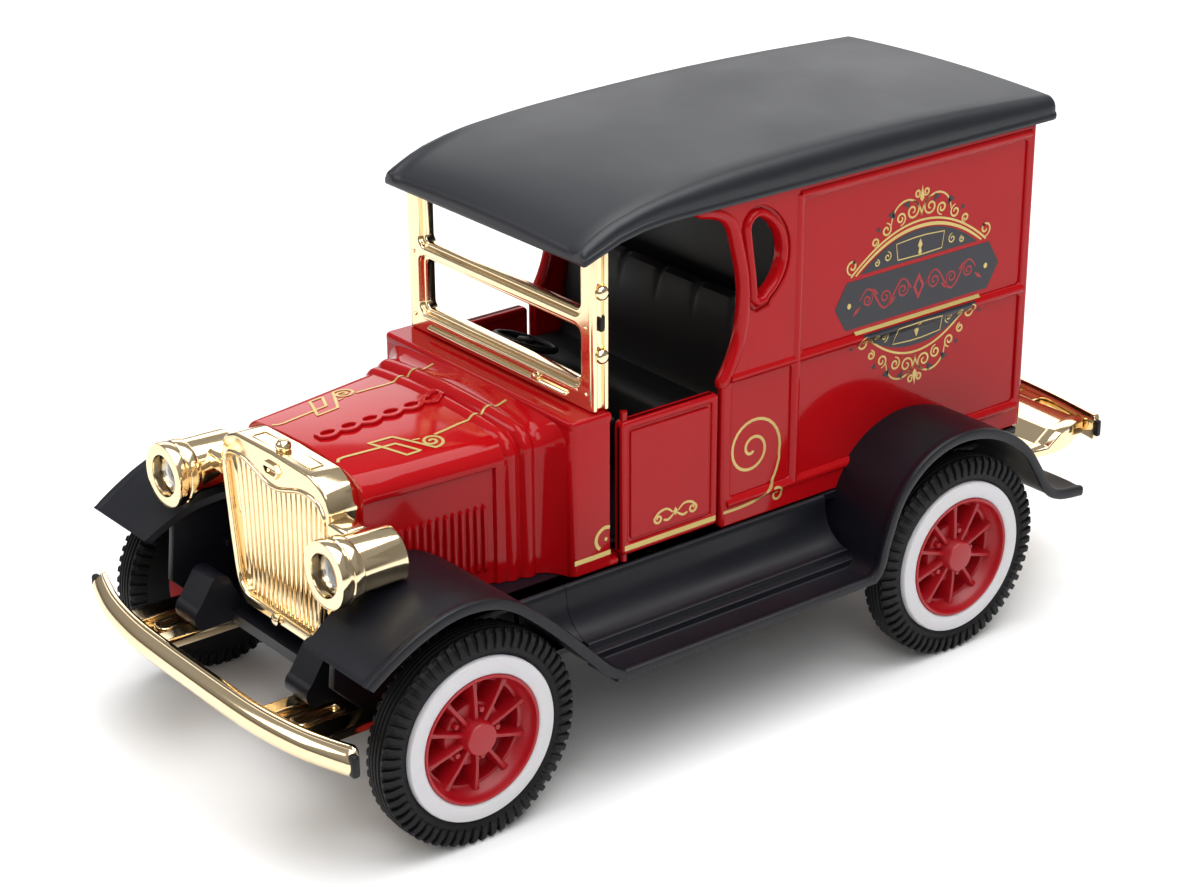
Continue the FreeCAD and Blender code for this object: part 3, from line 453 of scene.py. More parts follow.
def put_in_scene(name: str, data: Any) -> bpy.types.Object:
    """Makes an object from its data and links it to the scene."""
    made = bpy.data.objects.new(name, data)
    bpy.context.scene.collection.objects.link(made)
    return made


def build_repeat_tree() -> bpy.types.NodeTree:
    """Geometry Nodes tree that repeats its geometry along a step and about the X axis."""
    tree = bpy.data.node_groups.new("repeat_along_and_around", "GeometryNodeTree")
    for name, kind in (("Geometry", "NodeSocketGeometry"), ("Count", "NodeSocketInt"),
            ("Step", "NodeSocketVector"), ("Turn", "NodeSocketFloat"), ("Finish", "NodeSocketMaterial")):
        tree.interface.new_socket(name=name, in_out="INPUT", socket_type=kind)
    tree.interface.new_socket(name="Geometry", in_out="OUTPUT", socket_type="NodeSocketGeometry")
    given = add_node(tree, "NodeGroupInput").outputs
    line = add_node(tree, "GeometryNodeMeshLine", {"Count": given["Count"], "Offset": given["Step"]},
        mode="OFFSET")
    index = add_node(tree, "GeometryNodeInputIndex")
    angle = add_node(tree, "ShaderNodeMath", {0: index.outputs[0], 1: given["Turn"]}, operation="MULTIPLY")
    euler = add_node(tree, "ShaderNodeCombineXYZ", {"X": angle.outputs[0]})
    turn = add_node(tree, "FunctionNodeEulerToRotation", {0: euler.outputs[0]})
    copies = add_node(tree, "GeometryNodeInstanceOnPoints",
        {"Points": line.outputs[0], "Instance": given["Geometry"], "Rotation": turn.outputs[0]})
    real = add_node(tree, "GeometryNodeRealizeInstances", {"Geometry": copies.outputs[0]})
    dressed = add_node(tree, "GeometryNodeSetMaterial", {"Geometry": real.outputs[0],
        "Material": given["Finish"]})
    add_node(tree, "NodeGroupOutput", {"Geometry": dressed.outputs[0]})
    return tree


class Repeater:
    """Repeats a shape by Geometry Nodes and reads the result back as a shape."""

    def __init__(self) -> None:
        """Builds the tree once."""
        self.tree = build_repeat_tree()
        items = self.tree.interface.items_tree
        self.sockets = {item.name: item.identifier for item in items if item.in_out == "INPUT"}

    def run(self, shape: Shape, count: int, step: Point3 = (0, 0, 0), turn: float = 0) -> Shape:
        """Copies the shape count times.

        Args:
            shape: the shape of one copy, in its first place.
            count: how many copies.
            step: shift from one copy to the next, in millimetres.
            turn: turn about the X axis from one copy to the next, in radians.
        Returns:
            All copies as one shape.
        """
        mesh = bpy.data.meshes.new("repeat")
        mesh.from_pydata(shape.points, [], shape.faces)
        seed = put_in_scene("repeat", mesh)
        modifier = seed.modifiers.new("repeat", "NODES")
        modifier.node_group = self.tree
        for socket, value in (("Count", count), ("Step", step), ("Turn", turn)):
            modifier[self.sockets[socket]] = value
        graph = bpy.context.evaluated_depsgraph_get()
        result = bpy.data.meshes.new_from_object(seed.evaluated_get(graph))
        points = [tuple(vertex.co) for vertex in result.vertices]
        faces = [tuple(polygon.vertices) for polygon in result.polygons]
        bpy.data.objects.remove(seed)
        bpy.data.meshes.remove(mesh)
        bpy.data.meshes.remove(result)
        return Shape(points, faces)


# ---- finished pieces


def make_piece(name: str, shape: Shape, material: bpy.types.Material, body: str, replaces: Sequence[str] = (),
        slot: str = "", sharp: float = 38.0) -> bpy.types.Object:
    """Turns a shape into a finished piece of the van.

    Args:
        name: the piece's name.
        shape: its shape in millimetres.
        material: its finish.
        body: the CAD body that it rides on.
        replaces: CAD nodes that it stands for.
        slot: the record's material slot, where it isn't the replaced node's own; not used.
        sharp: edges that turn by more than this many degrees stay crisp.
    Returns:
        The new object.
    """
    mesh = bpy.data.meshes.new(name)
    mesh.from_pydata([(x * MM, y * MM, z * MM) for x, y, z in shape.points], [], shape.faces)
    cloth = bmesh.new()
    cloth.from_mesh(mesh)
    bmesh.ops.remove_doubles(cloth, verts=cloth.verts, dist=WELD)
    bmesh.ops.dissolve_degenerate(cloth, dist=SLIVER, edges=cloth.edges)
    bmesh.ops.recalc_face_normals(cloth, faces=cloth.faces)
    for face in cloth.faces:
        face.smooth = True
    for edge in cloth.edges:
        if len(edge.link_faces) == 2 and edge.calc_face_angle(0) > math.radians(sharp):
            edge.smooth = False
    cloth.to_mesh(mesh)
    cloth.free()
    mesh.materials.append(material)
    piece = put_in_scene(name, mesh)
    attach(piece, body)
    if replaces:
        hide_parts(*replaces)
    LOG.info("%s: %d faces on %s", name, len(mesh.polygons), body)
    return piece


# ---- finishes


def linear(hex_colour: str) -> tuple[float, float, float, float]:
    """Turns an sRGB hex colour into the linear values that a shader takes."""
    parts = [int(hex_colour[index : index + 2], 16) / 255 for index in (1, 3, 5)]
    low, high = 12.92, 1.055
    values = [part / low if part <= 0.04045 else ((part + 0.055) / high) ** 2.4 for part in parts]
    return (*values, 1)


class Grain(Enum):
    """How a surface was formed, which decides the small relief that it carries."""

    ROUND = "round"
    DRAWN = "drawn"


@dataclass(frozen=True)
class Finish:
    """One real surface, as a name, its colours, its gloss and its small relief.

    The relief is a noise bump whose cells are grain_mm wide and relief_mm high. Patches
    patch_mm wide vary the colour between base and shade, and the roughness by spread.
    """

    name: str
    base: str
    shade: str
    roughness: float
    spread: float
    grain_mm: float
    relief_mm: float
    patch_mm: float = 14.0
    grain: Grain = Grain.ROUND
    metallic: float = 0.0
    ior: float = 1.5
    coat: float = 0.0
    clear: float = 0.0
    inner_glow: float = 0.0
    coat_roughness: float = 0.04
    glow_depth_mm: float = 0.4

    def build(self) -> bpy.types.Material:
        """Makes the material's nodes, all on Object coordinates."""
        material = bpy.data.materials.new(self.name)
        material.use_nodes = True
        tree = material.node_tree
        tree.nodes.clear()
        place = add_node(tree, "ShaderNodeTexCoord").outputs["Object"]
        stretch = (0.12, 1, 1) if self.grain is Grain.DRAWN else (1, 1, 1)
        fine_scale = tuple(part / (self.grain_mm * MM) for part in stretch)
        fine_place = add_node(tree, "ShaderNodeMapping", {"Vector": place, "Scale": fine_scale})
        fine = add_node(tree, "ShaderNodeTexNoise", {"Vector": fine_place.outputs[0], "Scale": 1.0,
            "Detail": 2.0})
        patch_scale = 1 / (self.patch_mm * MM)
        patch = add_node(tree, "ShaderNodeTexNoise", {"Vector": place, "Scale": patch_scale, "Detail": 3.0})
        colour = add_node(tree, "ShaderNodeMix", {0: patch.outputs["Fac"]}, data_type="RGBA")
        colour.inputs[6].default_value = linear(self.base)
        colour.inputs[7].default_value = linear(self.shade)
        # The noise stays between about 0.3 and 0.7, so that range spans the whole spread.
        gloss = add_node(tree, "ShaderNodeMapRange", {"Value": patch.outputs["Fac"], "From Min": 0.3,
            "From Max": 0.7, "To Min": max(0.02, self.roughness - self.spread),
            "To Max": self.roughness + self.spread})
        bump = add_node(tree, "ShaderNodeBump", {"Height": fine.outputs["Fac"], "Strength": 1,
            "Distance": self.relief_mm * MM})
        shader = add_node(tree, "ShaderNodeBsdfPrincipled",
            {"Base Color": colour.outputs[2], "Roughness": gloss.outputs[0], "Normal": bump.outputs[0],
            "Metallic": self.metallic, "IOR": self.ior, "Coat Weight": self.coat,
            "Coat Roughness": self.coat_roughness, "Transmission Weight": self.clear,
            "Subsurface Weight": self.inner_glow, "Subsurface Scale": self.glow_depth_mm * MM})
        add_node(tree, "ShaderNodeOutputMaterial", {"Surface": shader.outputs[0]})
        return material


class Finishes:
    """Every finish on the van, each made once."""

    def __init__(self) -> None:
        """Builds the materials."""
        # Stoving enamel sprayed on a zinc casting: wet gloss over faint orange peel 1.6 mm wide.
        self.enamel = Finish("red_enamel_on_zinc", "#A90A11", "#A0090F", 0.10, 0.02, 1.6, 0.0014, coat=0.08,
            ior=1.27).build()
        # Injection-moulded ABS from a fine spark-eroded mould: satin, with soft broad highlights.
        self.roof = Finish("satin_abs_roof", "#101219", "#15171F", 0.44, 0.05, 0.5, 0.004, patch_mm=22.0,
            ior=1.5).build()
        # The same ABS on the wings, where the tool was duller and the black deeper.
        self.wings = Finish("satin_abs_wings", "#0B0C13", "#101118", 0.40, 0.06, 0.5, 0.004, ior=1.36).build()
        # The same ABS from a rougher tool inside the cab: duller and a shade blacker.
        self.interior = Finish("dull_abs_interior", "#070709", "#0B0B0E", 0.5, 0.06, 0.6, 0.006,
            ior=1.4).build()
        # Vacuum-metallised ABS under yellow lacquer: mirror gold that follows the moulding's faint waves.
        self.gold = Finish("gold_vacuum_metallised_abs", "#FBE7C2", "#F5D9AA", 0.12, 0.03, 2.6, 0.010,
            metallic=1).build()
        # The same plating without lacquer, thin and grey: a dim mirror behind the lens.
        self.silver = Finish("silver_vacuum_metallised_abs", "#727072", "#646264", 0.2, 0.05, 2, 0.01,
            metallic=1).build()
        # Clear injection-moulded polystyrene: glassy, with a high index and a few flow waves.
        self.lens = Finish("clear_polystyrene", "#D8D8D6", "#CFCFCD", 0.04, 0.01, 3.0, 0.004, ior=1.59,
            clear=1.0).build()
        # Soft PVC tyre: near black, barely glossy, with a fine matt mould texture.
        self.tyre = Finish("black_pvc_tyre", "#08080A", "#0C0C0F", 0.55, 0.06, 0.7, 0.008, ior=1.3).build()
        # White polypropylene ring: smooth, slightly waxy, yellowed a little in patches.
        self.white = Finish("white_polypropylene", "#CBCAD0", "#C5C3C2", 0.38, 0.05, 1.2, 0.004,
            inner_glow=0.15).build()
        # Red ABS wheel, coloured right through: smooth with a soft sheen.
        self.wheel = Finish("red_abs_wheel", "#A20A17", "#960914", 0.36, 0.05, 0.9, 0.005).build()
        # Screen-printed gold ink: flat metallic flake without a mirror.
        self.gold_ink = Finish("gold_screen_ink", "#D2BC78", "#C4AB64", 0.38, 0.05, 0.35, 0.004, patch_mm=5,
            metallic=0.55).build()
        # Screen-printed charcoal ink: even and slightly satin on the gloss enamel.
        self.charcoal_ink = Finish("charcoal_screen_ink", "#25252C", "#2A2A32", 0.3, 0.03, 0.6, 0.001,
            ior=1.4).build()
        # Cold-drawn steel rod: bright, with fine lines along its length.
        self.steel = Finish("drawn_steel", "#B9B9BC", "#A3A3A8", 0.28, 0.06, 0.25, 0.003, grain=Grain.DRAWN,
            metallic=1).build()
        # The hinge pins are sprayed with the casting, so enamel covers the wire.
        self.painted_steel = Finish("red_enamel_on_steel", "#A20A10", "#980A0F", 0.24, 0.04, 0.4, 0.002,
            ior=1.38).build()
        # Natural nylon gears: milky, with a soft sheen and light that sinks in.
        self.nylon = Finish("natural_nylon", "#E9E4D4", "#DED8C4", 0.4, 0.05, 0.8, 0.005,
            inner_glow=0.3).build()
        # Grey polystyrene motor case: plain moulded gloss with slight flow marks.
        self.motor_case = Finish("grey_polystyrene", "#C9C9C5", "#BBBBB6", 0.4, 0.06, 1.4, 0.006).build()


# ---- wheels


@dataclass
class RoadWheel:
    """One road wheel: tyre, white ring and red spoked centre, turned about X."""

    end: End
    side: Side
    axle_y: float
    axle_z: float = 15.0
    tread_radius: float = 15.0
    groove_radius: float = 14.3
    rib_width: float = 0.42
    groove_width: float = 0.24
    tread_start: float = 29.7
    lug_count: int = 60
    spoke_count: int = 10
    stud_count: int = 5
    stud_circle: float = 3.5
    # Radius, half-width at the back, half-width at the front and front x of each ring of a spoke.
    spoke_rings: tuple[tuple[float, ...], ...] = ((1.6, 0.75, 0.42, 32.55), (4, 0.66, 0.3, 32.5),
        (6.4, 0.66, 0.34, 32.35), (7.4, 0.8, 0.46, 32.3), (8.2, 1, 0.6, 32.3))

    def settle(self, shape: Shape) -> Shape:
        """Moves a shape from the X axis to this wheel's place."""
        return shape.moved(y=self.axle_y, z=self.axle_z).on(self.side)

    def tyre(self, repeater: Repeater) -> Shape:
        """Ribbed tread between two rings of shoulder lugs."""
        profile = [(28.8, 9), (28.8, 11.6), (28.95, 12.6), (29.1, 13.6), (29.4, 14.3), (29.6, 14.45)]
        x = self.tread_start
        for index in range(5):
            rib_end = x + self.rib_width
            top = self.tread_radius - 0.03 * (index - 2) ** 2
            profile += [(x, top - 0.12), (x + 0.08, top), (rib_end - 0.08, top), (rib_end, top - 0.12)]
            if index < 4:
                profile += [(rib_end + 0.04, self.groove_radius), (rib_end + 0.2, self.groove_radius)]
            x = rib_end + self.groove_width
        profile += [(32.9, 14.4), (33.15, 14.2), (33.4, 13.6), (33.5, 12.8), (33.45, 12.1), (33.3, 11.6)]
        profile += [(33.1, 11.4), (32.9, 11.4), (32.9, 9)]
        outer_lug = [(32.5, 14), (32.6, 14.9), (33.1, 14.98), (33.55, 14.55), (33.82, 13.6), (33.78, 12.7),
            (33.3, 12.2)]
        inner_lug = [(29.9, 14), (29.85, 14.9), (29.4, 14.9), (28.95, 14.5), (28.72, 13.6), (28.75, 12.7),
            (29.2, 12.2)]
        lugs = Shape()
        for section in (outer_lug, inner_lug):
            middle = Vector([sum(part) / len(section) for part in zip(*section)])
            rings = []
            for offset, size in ((-0.42, 0.82), (-0.3, 1), (0.3, 1), (0.42, 0.82)):
                ring = [middle + (Vector(point) - middle) * size for point in section]
                rings.append([(point.x, offset, point.y) for point in ring])
            lugs.add(loft(rings))
        ring_of_lugs = repeater.run(lugs, self.lug_count, turn=math.tau / self.lug_count)
        return self.settle(turned(profile, Axis.X, around=120).add(ring_of_lugs))

    def white_ring(self) -> Shape:
        """Flat white ring with a rolled outer and inner edge."""
        profile = [(32.9, 9.02), (32.9, 11.36), (33.62, 11.36), (33.84, 11.22), (33.95, 10.9), (33.99, 10.3)]
        profile += [(33.97, 9.7), (33.88, 9.25), (33.7, 9.03)]
        return self.settle(turned(profile, Axis.X, around=96))

    def centre(self, repeater: Repeater) -> Shape:
        """Deep dished red wheel with fin spokes, a studded flange and a flat hub cap."""
        dish = [(28.8, 0), (28.8, 8.7), (28.95, 9), (33.7, 9), (33.9, 8.88), (33.93, 8.7), (33.8, 8.52)]
        dish += [(33.3, 8.4), (32.6, 8.2), (32.4, 8), (31.5, 7.75), (31.35, 7.55), (31.3, 7.3), (30.9, 7.2)]
        dish += [(29.7, 7.05), (29.45, 6.8), (29.4, 6.2), (29.4, 0)]
        flange = [(29.2, 0), (29.2, 4.6), (31.2, 4.5), (31.45, 4.3), (31.5, 4), (31.55, 0)]
        cap = [(29.2, 0), (29.2, 2.6), (31.8, 2.5), (32, 2.35), (33.5, 2.3), (33.72, 2.12), (33.78, 1.85),
            (33.8, 0)]
        wheel = Shape().add(*[turned(profile, Axis.X, around=80) for profile in (dish, flange, cap)])
        rings = []
        for radius, back, half, x in self.spoke_rings:
            flank = [(29.3, back), (x - 0.35, half), (x - 0.08, half * 0.72)]
            across = [(a, -b) for a, b in flank] + [(x, 0)] + flank[::-1]
            rings.append([(a, b, radius) for a, b in across])
        wheel.add(repeater.run(loft(rings), self.spoke_count, turn=math.tau / self.spoke_count))
        stud = [(31.3, 0), (31.3, 0.5), (32, 0.48), (32.2, 0.36), (32.25, 0)]
        between = math.pi / self.spoke_count
        centre = (0, self.stud_circle * math.sin(between), self.stud_circle * math.cos(between))
        seed = turned(stud, Axis.X, centre, around=10)
        wheel.add(repeater.run(seed, self.stud_count, turn=math.tau / self.stud_count))
        return self.settle(wheel)

    def build(self, finishes: Finishes, repeater: Repeater) -> None:
        """Makes the wheel's three pieces on its axle's body."""
        for name, node, shape, finish, sharp in (("ribbed_tyre", "tyre", self.tyre(repeater), finishes.tyre,
                30), ("white_ring", "whitewall", self.white_ring(), finishes.white, 38),
                ("spoked_centre", "wheel", self.centre(repeater), finishes.wheel, 38)):
            full, cad = (f"{self.end.value}_{part}_{self.side.value}" for part in (name, node))
            make_piece(full, shape, finish, f"{self.end.value}_wheelset", [cad], sharp=sharp)


# ---- body casting


def moulding(outer: Loop, inner: Loop, rise: float, place: Place, closed: bool = False,
        steps: int = 6) -> Shape:
    """Raised round moulding between two outlines with the same number of points."""
    rings = []
    for (au, av), (bu, bv) in zip(outer, inner):
        ring = [place(au, av, -ROOT)]
        for index in range(steps + 1):
            share = index / steps
            height = rise * math.sin(math.pi * share) ** FULLNESS if 0 < share < 1 else 0
            ring.append(place(au + (bu - au) * share, av + (bv - av) * share, height))
        ring.append(place(bu, bv, -ROOT))
        rings.append(ring)
    return loft(rings, looped=closed, capped=not closed)


def straight_bead(start: Point2, end: Point2, width: float, rise: float, place: Place) -> Shape:
    """Half-round bead along a straight run."""
    way = (Vector(end) - Vector(start)).normalized()
    across = Vector((-way.y, way.x)) * width / 2
    shares = (0, 0.02, 0.98, 1)
    path = [Vector(start).lerp(Vector(end), share) for share in shares]
    return moulding([tuple(p + across) for p in path], [tuple(p - across) for p in path], rise, place)


@dataclass
class BodyCasting:
    """Red die-cast body: van box, cowl, hood, beads and louvres."""

    half_width: float = 21.9
    wall: float = 1.6
    panel_depth: float = 0.42
    rear_y: float = 58.3
    base_z: float = 25.6
    top_z: float = 72.4
    belt_z: float = 47.5
    foot_bead_z: float = 28.95
    eaves_bead_z: float = 71.2
    panel_y: Point2 = (13.4, 56.5)
    pillar_panel_y: Point2 = (0.9, 11.8)
    low_panel_z: Point2 = (29.8, 46.7)
    high_panel_z: Point2 = (48.3, 70.3)
    panel_corner: float = 0.6
    panel_edge: float = 0.28
    bead_width: float = 1.25
    bead_rise: float = 0.36
    cowl_half: float = 21.6
    cowl_y: Point2 = (-26.5, -20)
    cowl_top: float = 48.0
    hood_recess: float = 0.55
    shoulder: float = 3.2
    crown_drop: float = 0.7
    louvres: int = 13
    # y, half-width, top height and share of the side recess at each station of the hood.
    hood_profile: tuple[tuple[float, ...], ...] = ((-54.2, 13.95, 45.75, 0.5), (-53.9, 14.1, 45.8, 1),
        (-48, 14.8, 46, 1), (-41, 15.65, 46.25, 1), (-35.2, 16.35, 46.45, 1), (-35, 16.38, 46.45, 0),
        (-33.7, 16.5, 46.5, 0), (-33.45, 16.75, 46.75, 0), (-33.1, 16.98, 47, 0), (-32.6, 17.08, 47.1, 0),
        (-32.1, 16.98, 47, 0), (-31.8, 16.75, 46.75, 0), (-31.5, 16.72, 46.72, 0), (-31.25, 17.1, 47.1, 0),
        (-30.9, 17.45, 47.45, 0), (-30.3, 17.62, 47.62, 0), (-29.7, 17.5, 47.5, 0), (-29.35, 17.2, 47.2, 0),
        (-29, 17.2, 47.15, 0), (-28.2, 17.6, 47.3, 0), (-27.4, 18.5, 47.5, 0), (-26.8, 19.6, 47.7, 0),
        (-26.3, 21, 47.85, 0))

    def hood_at(self, y: float) -> tuple[float, float]:
        """Half-width and top height of the hood at y."""
        half, top, _ = between(self.hood_profile, y)
        return half, top

    def hood_top(self, x: float, y: float, height: float = 0) -> Point3:
        """Point on the hood's crown."""
        half, top = self.hood_at(y)
        return (x, y, top - self.crown_drop * (x / (half - self.shoulder)) ** 2 + height)

    def hood_ring(self, row: Sequence[float]) -> list[Point3]:
        """Cross-section of the hood, up one side, over the crown and down the other."""
        y, half, top, recess = row
        inner = half - self.hood_recess * recess
        lip = half - 0.12 * recess
        side = [(inner, self.base_z), (inner, 36), (inner, top - 4.5), (inner + 0.02, top - 4.3)]
        side += [(lip, top - 4.1), (half, top - 3.95), (half, top - 3.5)]
        flat, drop = half - self.shoulder, self.crown_drop
        side += arc((half, top - 3.4), (half - 1, top - 1.65), (flat, top - drop), 7)
        crown = [flat * (1 - index / 8) for index in range(1, 8)]
        side += [(x, top - drop * (x / flat) ** 2) for x in crown]
        across = side + [(0, top)] + [(-x, z) for x, z in side[::-1]]
        return [(x, y, z) for x, z in across]

    def hood(self, repeater: Repeater) -> Shape:
        """Hood with its two beads, flare, louvres and hinge strip."""
        shape = loft([self.hood_ring(row) for row in self.hood_profile])
        pitch = 13.5 / (self.louvres - 1)
        slope = (self.hood_at(-37)[0] - self.hood_at(-50)[0]) / 13
        x = self.hood_at(-50.1)[0] - self.hood_recess
        louvre = rounded([(-50.42, 27.6, 0.1), (-49.78, 27.6, 0.1), (-49.78, 36.5, 0.15), (-50.1, 37.1, 0.12),
            (-50.42, 36.5, 0.15)])
        seed = plate(louvre, [], (-0.3, 0.5), 0.16, side_place(x), steps=2)
        rows = repeater.run(seed, self.louvres, (slope * pitch, pitch, 0.03))
        shape.add(rows.both_sides())
        return shape.add(self.hinge_strip())

    def hinge_strip(self) -> Shape:
        """Raised strip of scalloped loops along the middle of the hood."""
        start, pitch, count = -52.2, 3.35, 6
        shares = [index / 8 for index in range(count * 8 + 1)]
        near = [(start + share * pitch, 0.75 + 0.75 * abs(math.sin(math.pi * share))) for share in shares]
        outer = [(0.4 + width, y) for y, width in near] + [(0.4 - width, y) for y, width in near[::-1]]
        holes = []
        for index in range(count):
            middle = start + (index + 0.5) * pitch
            ring = [math.tau * step / 16 for step in range(16)]
            holes.append([(0.4 + 0.62 * math.cos(a), middle + 1.05 * math.sin(a)) for a in ring])
        return plate(outer, holes, (-0.25, 0.42), 0.16, self.hood_top, steps=2)

    def side_panels(self) -> list[tuple[Point2, Point2]]:
        """The y and z range of each sunk panel on a side."""
        low, high = self.low_panel_z, self.high_panel_z
        return [(self.panel_y, high), (self.panel_y, low), (self.pillar_panel_y, low)]

    def wall_layers(self) -> Shape:
        """One side of the van box: a base plate, and a raised frame round its sunk panels."""
        edge = arc((-4.6, self.top_z), (0.6, 69.9), (2.1, 65.4), 8)
        edge += arc((2.1, 65.4), (3.3, 57.6), (-0.6, 46.9), 12)[1:]
        wall = [(57.6, self.base_z), (57.6, self.top_z)] + edge + [(-0.6, self.base_z)]
        window = self.window()
        outside, inside = self.half_width, self.half_width - self.panel_depth
        base = plate(wall, [window], (self.half_width - self.wall, inside), 0.25, side_place(0))
        panels = [slab_outline(y, z, self.panel_corner) for y, z in self.side_panels()]
        panels.append(inset(turned_way(window, True), -1.75))
        inner_wall = inset(turned_way(wall, True), 0.02)
        frame = plate(inner_wall, panels, (inside - 0.4, outside), self.panel_edge, side_place(0))
        return base.add(frame)

    def window(self) -> list[Point2]:
        """Teardrop window outline."""
        loop = arc((6.3, 58.7), (9.2, 63.4), (5.9, 69.2), 16)
        loop += arc((5.9, 69.2), (4.6, 69.4), (3.9, 68.3), 5)[1:]
        loop += [(4.4, 65), (4.9, 61.8)]
        return loop + arc((5.25, 59), (5.55, 58.15), (6.3, 58.7), 4)[:-1]

    def side_mouldings(self) -> Shape:
        """Beads, the pillar's rolled edge and the ring round the teardrop window."""
        land = side_place(self.half_width)
        beads = Shape()
        foot, eaves = self.foot_bead_z, self.eaves_bead_z
        for start, end in (((0.6, self.belt_z), (57, self.belt_z)), ((12.6, 29), (12.6, eaves)),
                ((0.2, foot), (57, foot)), ((12.6, eaves), (57, eaves))):
            beads.add(straight_bead(start, end, self.bead_width, self.bead_rise, land))
        window = turned_way(self.window(), True)
        ring_place = side_place(self.half_width - self.panel_depth)
        beads.add(moulding(inset(window, -1.35), inset(window, -0.02), 0.85, ring_place, closed=True))
        edge = [(-4.6, 72.3), (-1.3, 71.3), (0.8, 69.4), (2.05, 65.4), (2.95, 61.4), (3.1, 57.2), (2.5, 53)]
        edge += [(1.2, 49.6), (-0.4, 47)]
        rim = [(21.05, y + 0.1, z) for y, z in smooth_path(edge, 5)]
        beads.add(tube(rim, 1.05, 12))
        beads.add(tube([(21.3, -0.3, z) for z in (47.2, 46.6, 40, 32, 26.2)], 0.62, 10))
        return beads

    def rear_wall(self) -> Shape:
        """Tail wall with two sunk door panels, their beads, and rounded corner posts."""
        low, high = self.base_z, self.top_z
        back = rear_place(self.rear_y)
        wall = slab_outline((-21, 21), (low, high), 0.1)
        ranges = [(x, z) for z in (self.low_panel_z, self.high_panel_z) for x in ((-19.6, -0.9), (0.9, 19.6))]
        panels = [slab_outline(x, z, self.panel_corner) for x, z in ranges]
        shape = plate(wall, [], (-self.wall, -self.panel_depth), 0.25, back)
        shape.add(plate(inset(wall, 0.02), panels, (-self.panel_depth - 0.4, 0), self.panel_edge, back))
        runs = [((-21, z), (21, z)) for z in (self.belt_z, self.foot_bead_z, self.eaves_bead_z)]
        for start, end in [runs[0], ((0, 29), (0, self.eaves_bead_z)), *runs[1:]]:
            shape.add(straight_bead(start, end, self.bead_width, 0.3, back))
        post = block((20.3, self.half_width), (56.7, self.rear_y), (low, high), 0.3, corner=0.75)
        return shape.add(post.both_sides())

    def cowl(self) -> Shape:
        """Cowl walls, its deck with a chamfered front edge, and the sill rails."""
        half, (front, rear) = self.cowl_half, self.cowl_y
        wall = self.wall
        inner = half - wall
        outside = [(half, rear, 0.3), (half, front, 1), (-half, front, 1), (-half, rear, 0.3)]
        inside = [(-inner, rear, 0.3), (-inner, front + wall, 0.3), (inner, front + wall, 0.3),
            (inner, rear, 0.3)]
        around = rounded(outside + inside)
        shape = plate(around, [], (self.base_z, self.cowl_top - 0.9), 0.25, top_place(0))
        edge = half + 0.02
        deck_rear, deck_front = rear + 0.3, front - 0.02
        deck = rounded([(edge, deck_rear, 0.4), (-edge, deck_rear, 0.4), (-edge, deck_front, 1),
            (edge, deck_front, 1)])
        shape.add(plate(deck, [], (self.cowl_top - wall, self.cowl_top), 0.55, top_place(0), steps=4))
        rail_z = (self.base_z, self.base_z + 1)
        rail = block((18.9, 20.3), (rear - 1, 1), rail_z, 0.25)
        gap_step = block((20, 21.7), (rear - 0.3, rear + 1.3), rail_z, 0.25)
        return shape.add(rail.both_sides(), gap_step.both_sides())

    def build(self, finishes: Finishes, repeater: Repeater) -> None:
        """Makes the casting as one piece."""
        sides = self.wall_layers().add(self.side_mouldings()).both_sides()
        shape = Shape().add(sides, self.rear_wall(), self.cowl(), self.hood(repeater))
        for x, y, top in ((9, -44, 44), (14, 53, 40)):
            post = turned([(18.6, 0.9), (18.6, 2.4), (top, 2.4), (top, 0.9)], Axis.Z, (x, y, 0), 24)
            shape.add(post.both_sides())
        make_piece("body_casting", shape, finishes.enamel, "van", ["body_shell"])


@dataclass
class Door:
    """One cab door: a plate with a raised rim, a groove and a flat centre panel."""

    side: Side
    y: Point2 = (-18.6, -1.8)
    z: Point2 = (26.8, 46.2)
    outer_x: float = 22.3
    thickness: float = 1.8
    rim: float = 1.15
    foot_rim: float = 1.65
    groove: float = 0.42

    def build(self, finishes: Finishes) -> None:
        """Makes the door on its own body."""
        inner = self.outer_x - self.thickness
        rim_inner = self.rim + self.groove
        shape = plate(slab_outline(self.y, self.z, 0.7), [], (inner + 0.35, self.outer_x - 0.38), 0.25,
            side_place(0))
        (y_low, y_high), (z_low, z_high) = self.y, self.z
        foot = z_low + self.foot_rim
        opening = slab_outline((y_low + self.rim, y_high - self.rim), (foot, z_high - self.rim), 0.5)
        edge = slab_outline(self.y, self.z, 0.75)
        shape.add(plate(edge, [opening], (inner + 0.3, self.outer_x), 0.42, side_place(0), steps=4))
        shape.add(plate(edge, [opening], (inner, inner + 0.8), 0.3, side_place(0)))
        panel = slab_outline((y_low + rim_inner, y_high - rim_inner),
            (foot + self.groove, z_high - rim_inner), 0.4)
        shape.add(plate(panel, [], (self.outer_x - 0.8, self.outer_x - 0.08), 0.16, side_place(0)))
        side = self.side.value
        make_piece(f"{side}_door_panel", shape.on(self.side), finishes.enamel, f"{side}_door",
            [f"door_{side}"])


# ---- roof and cab


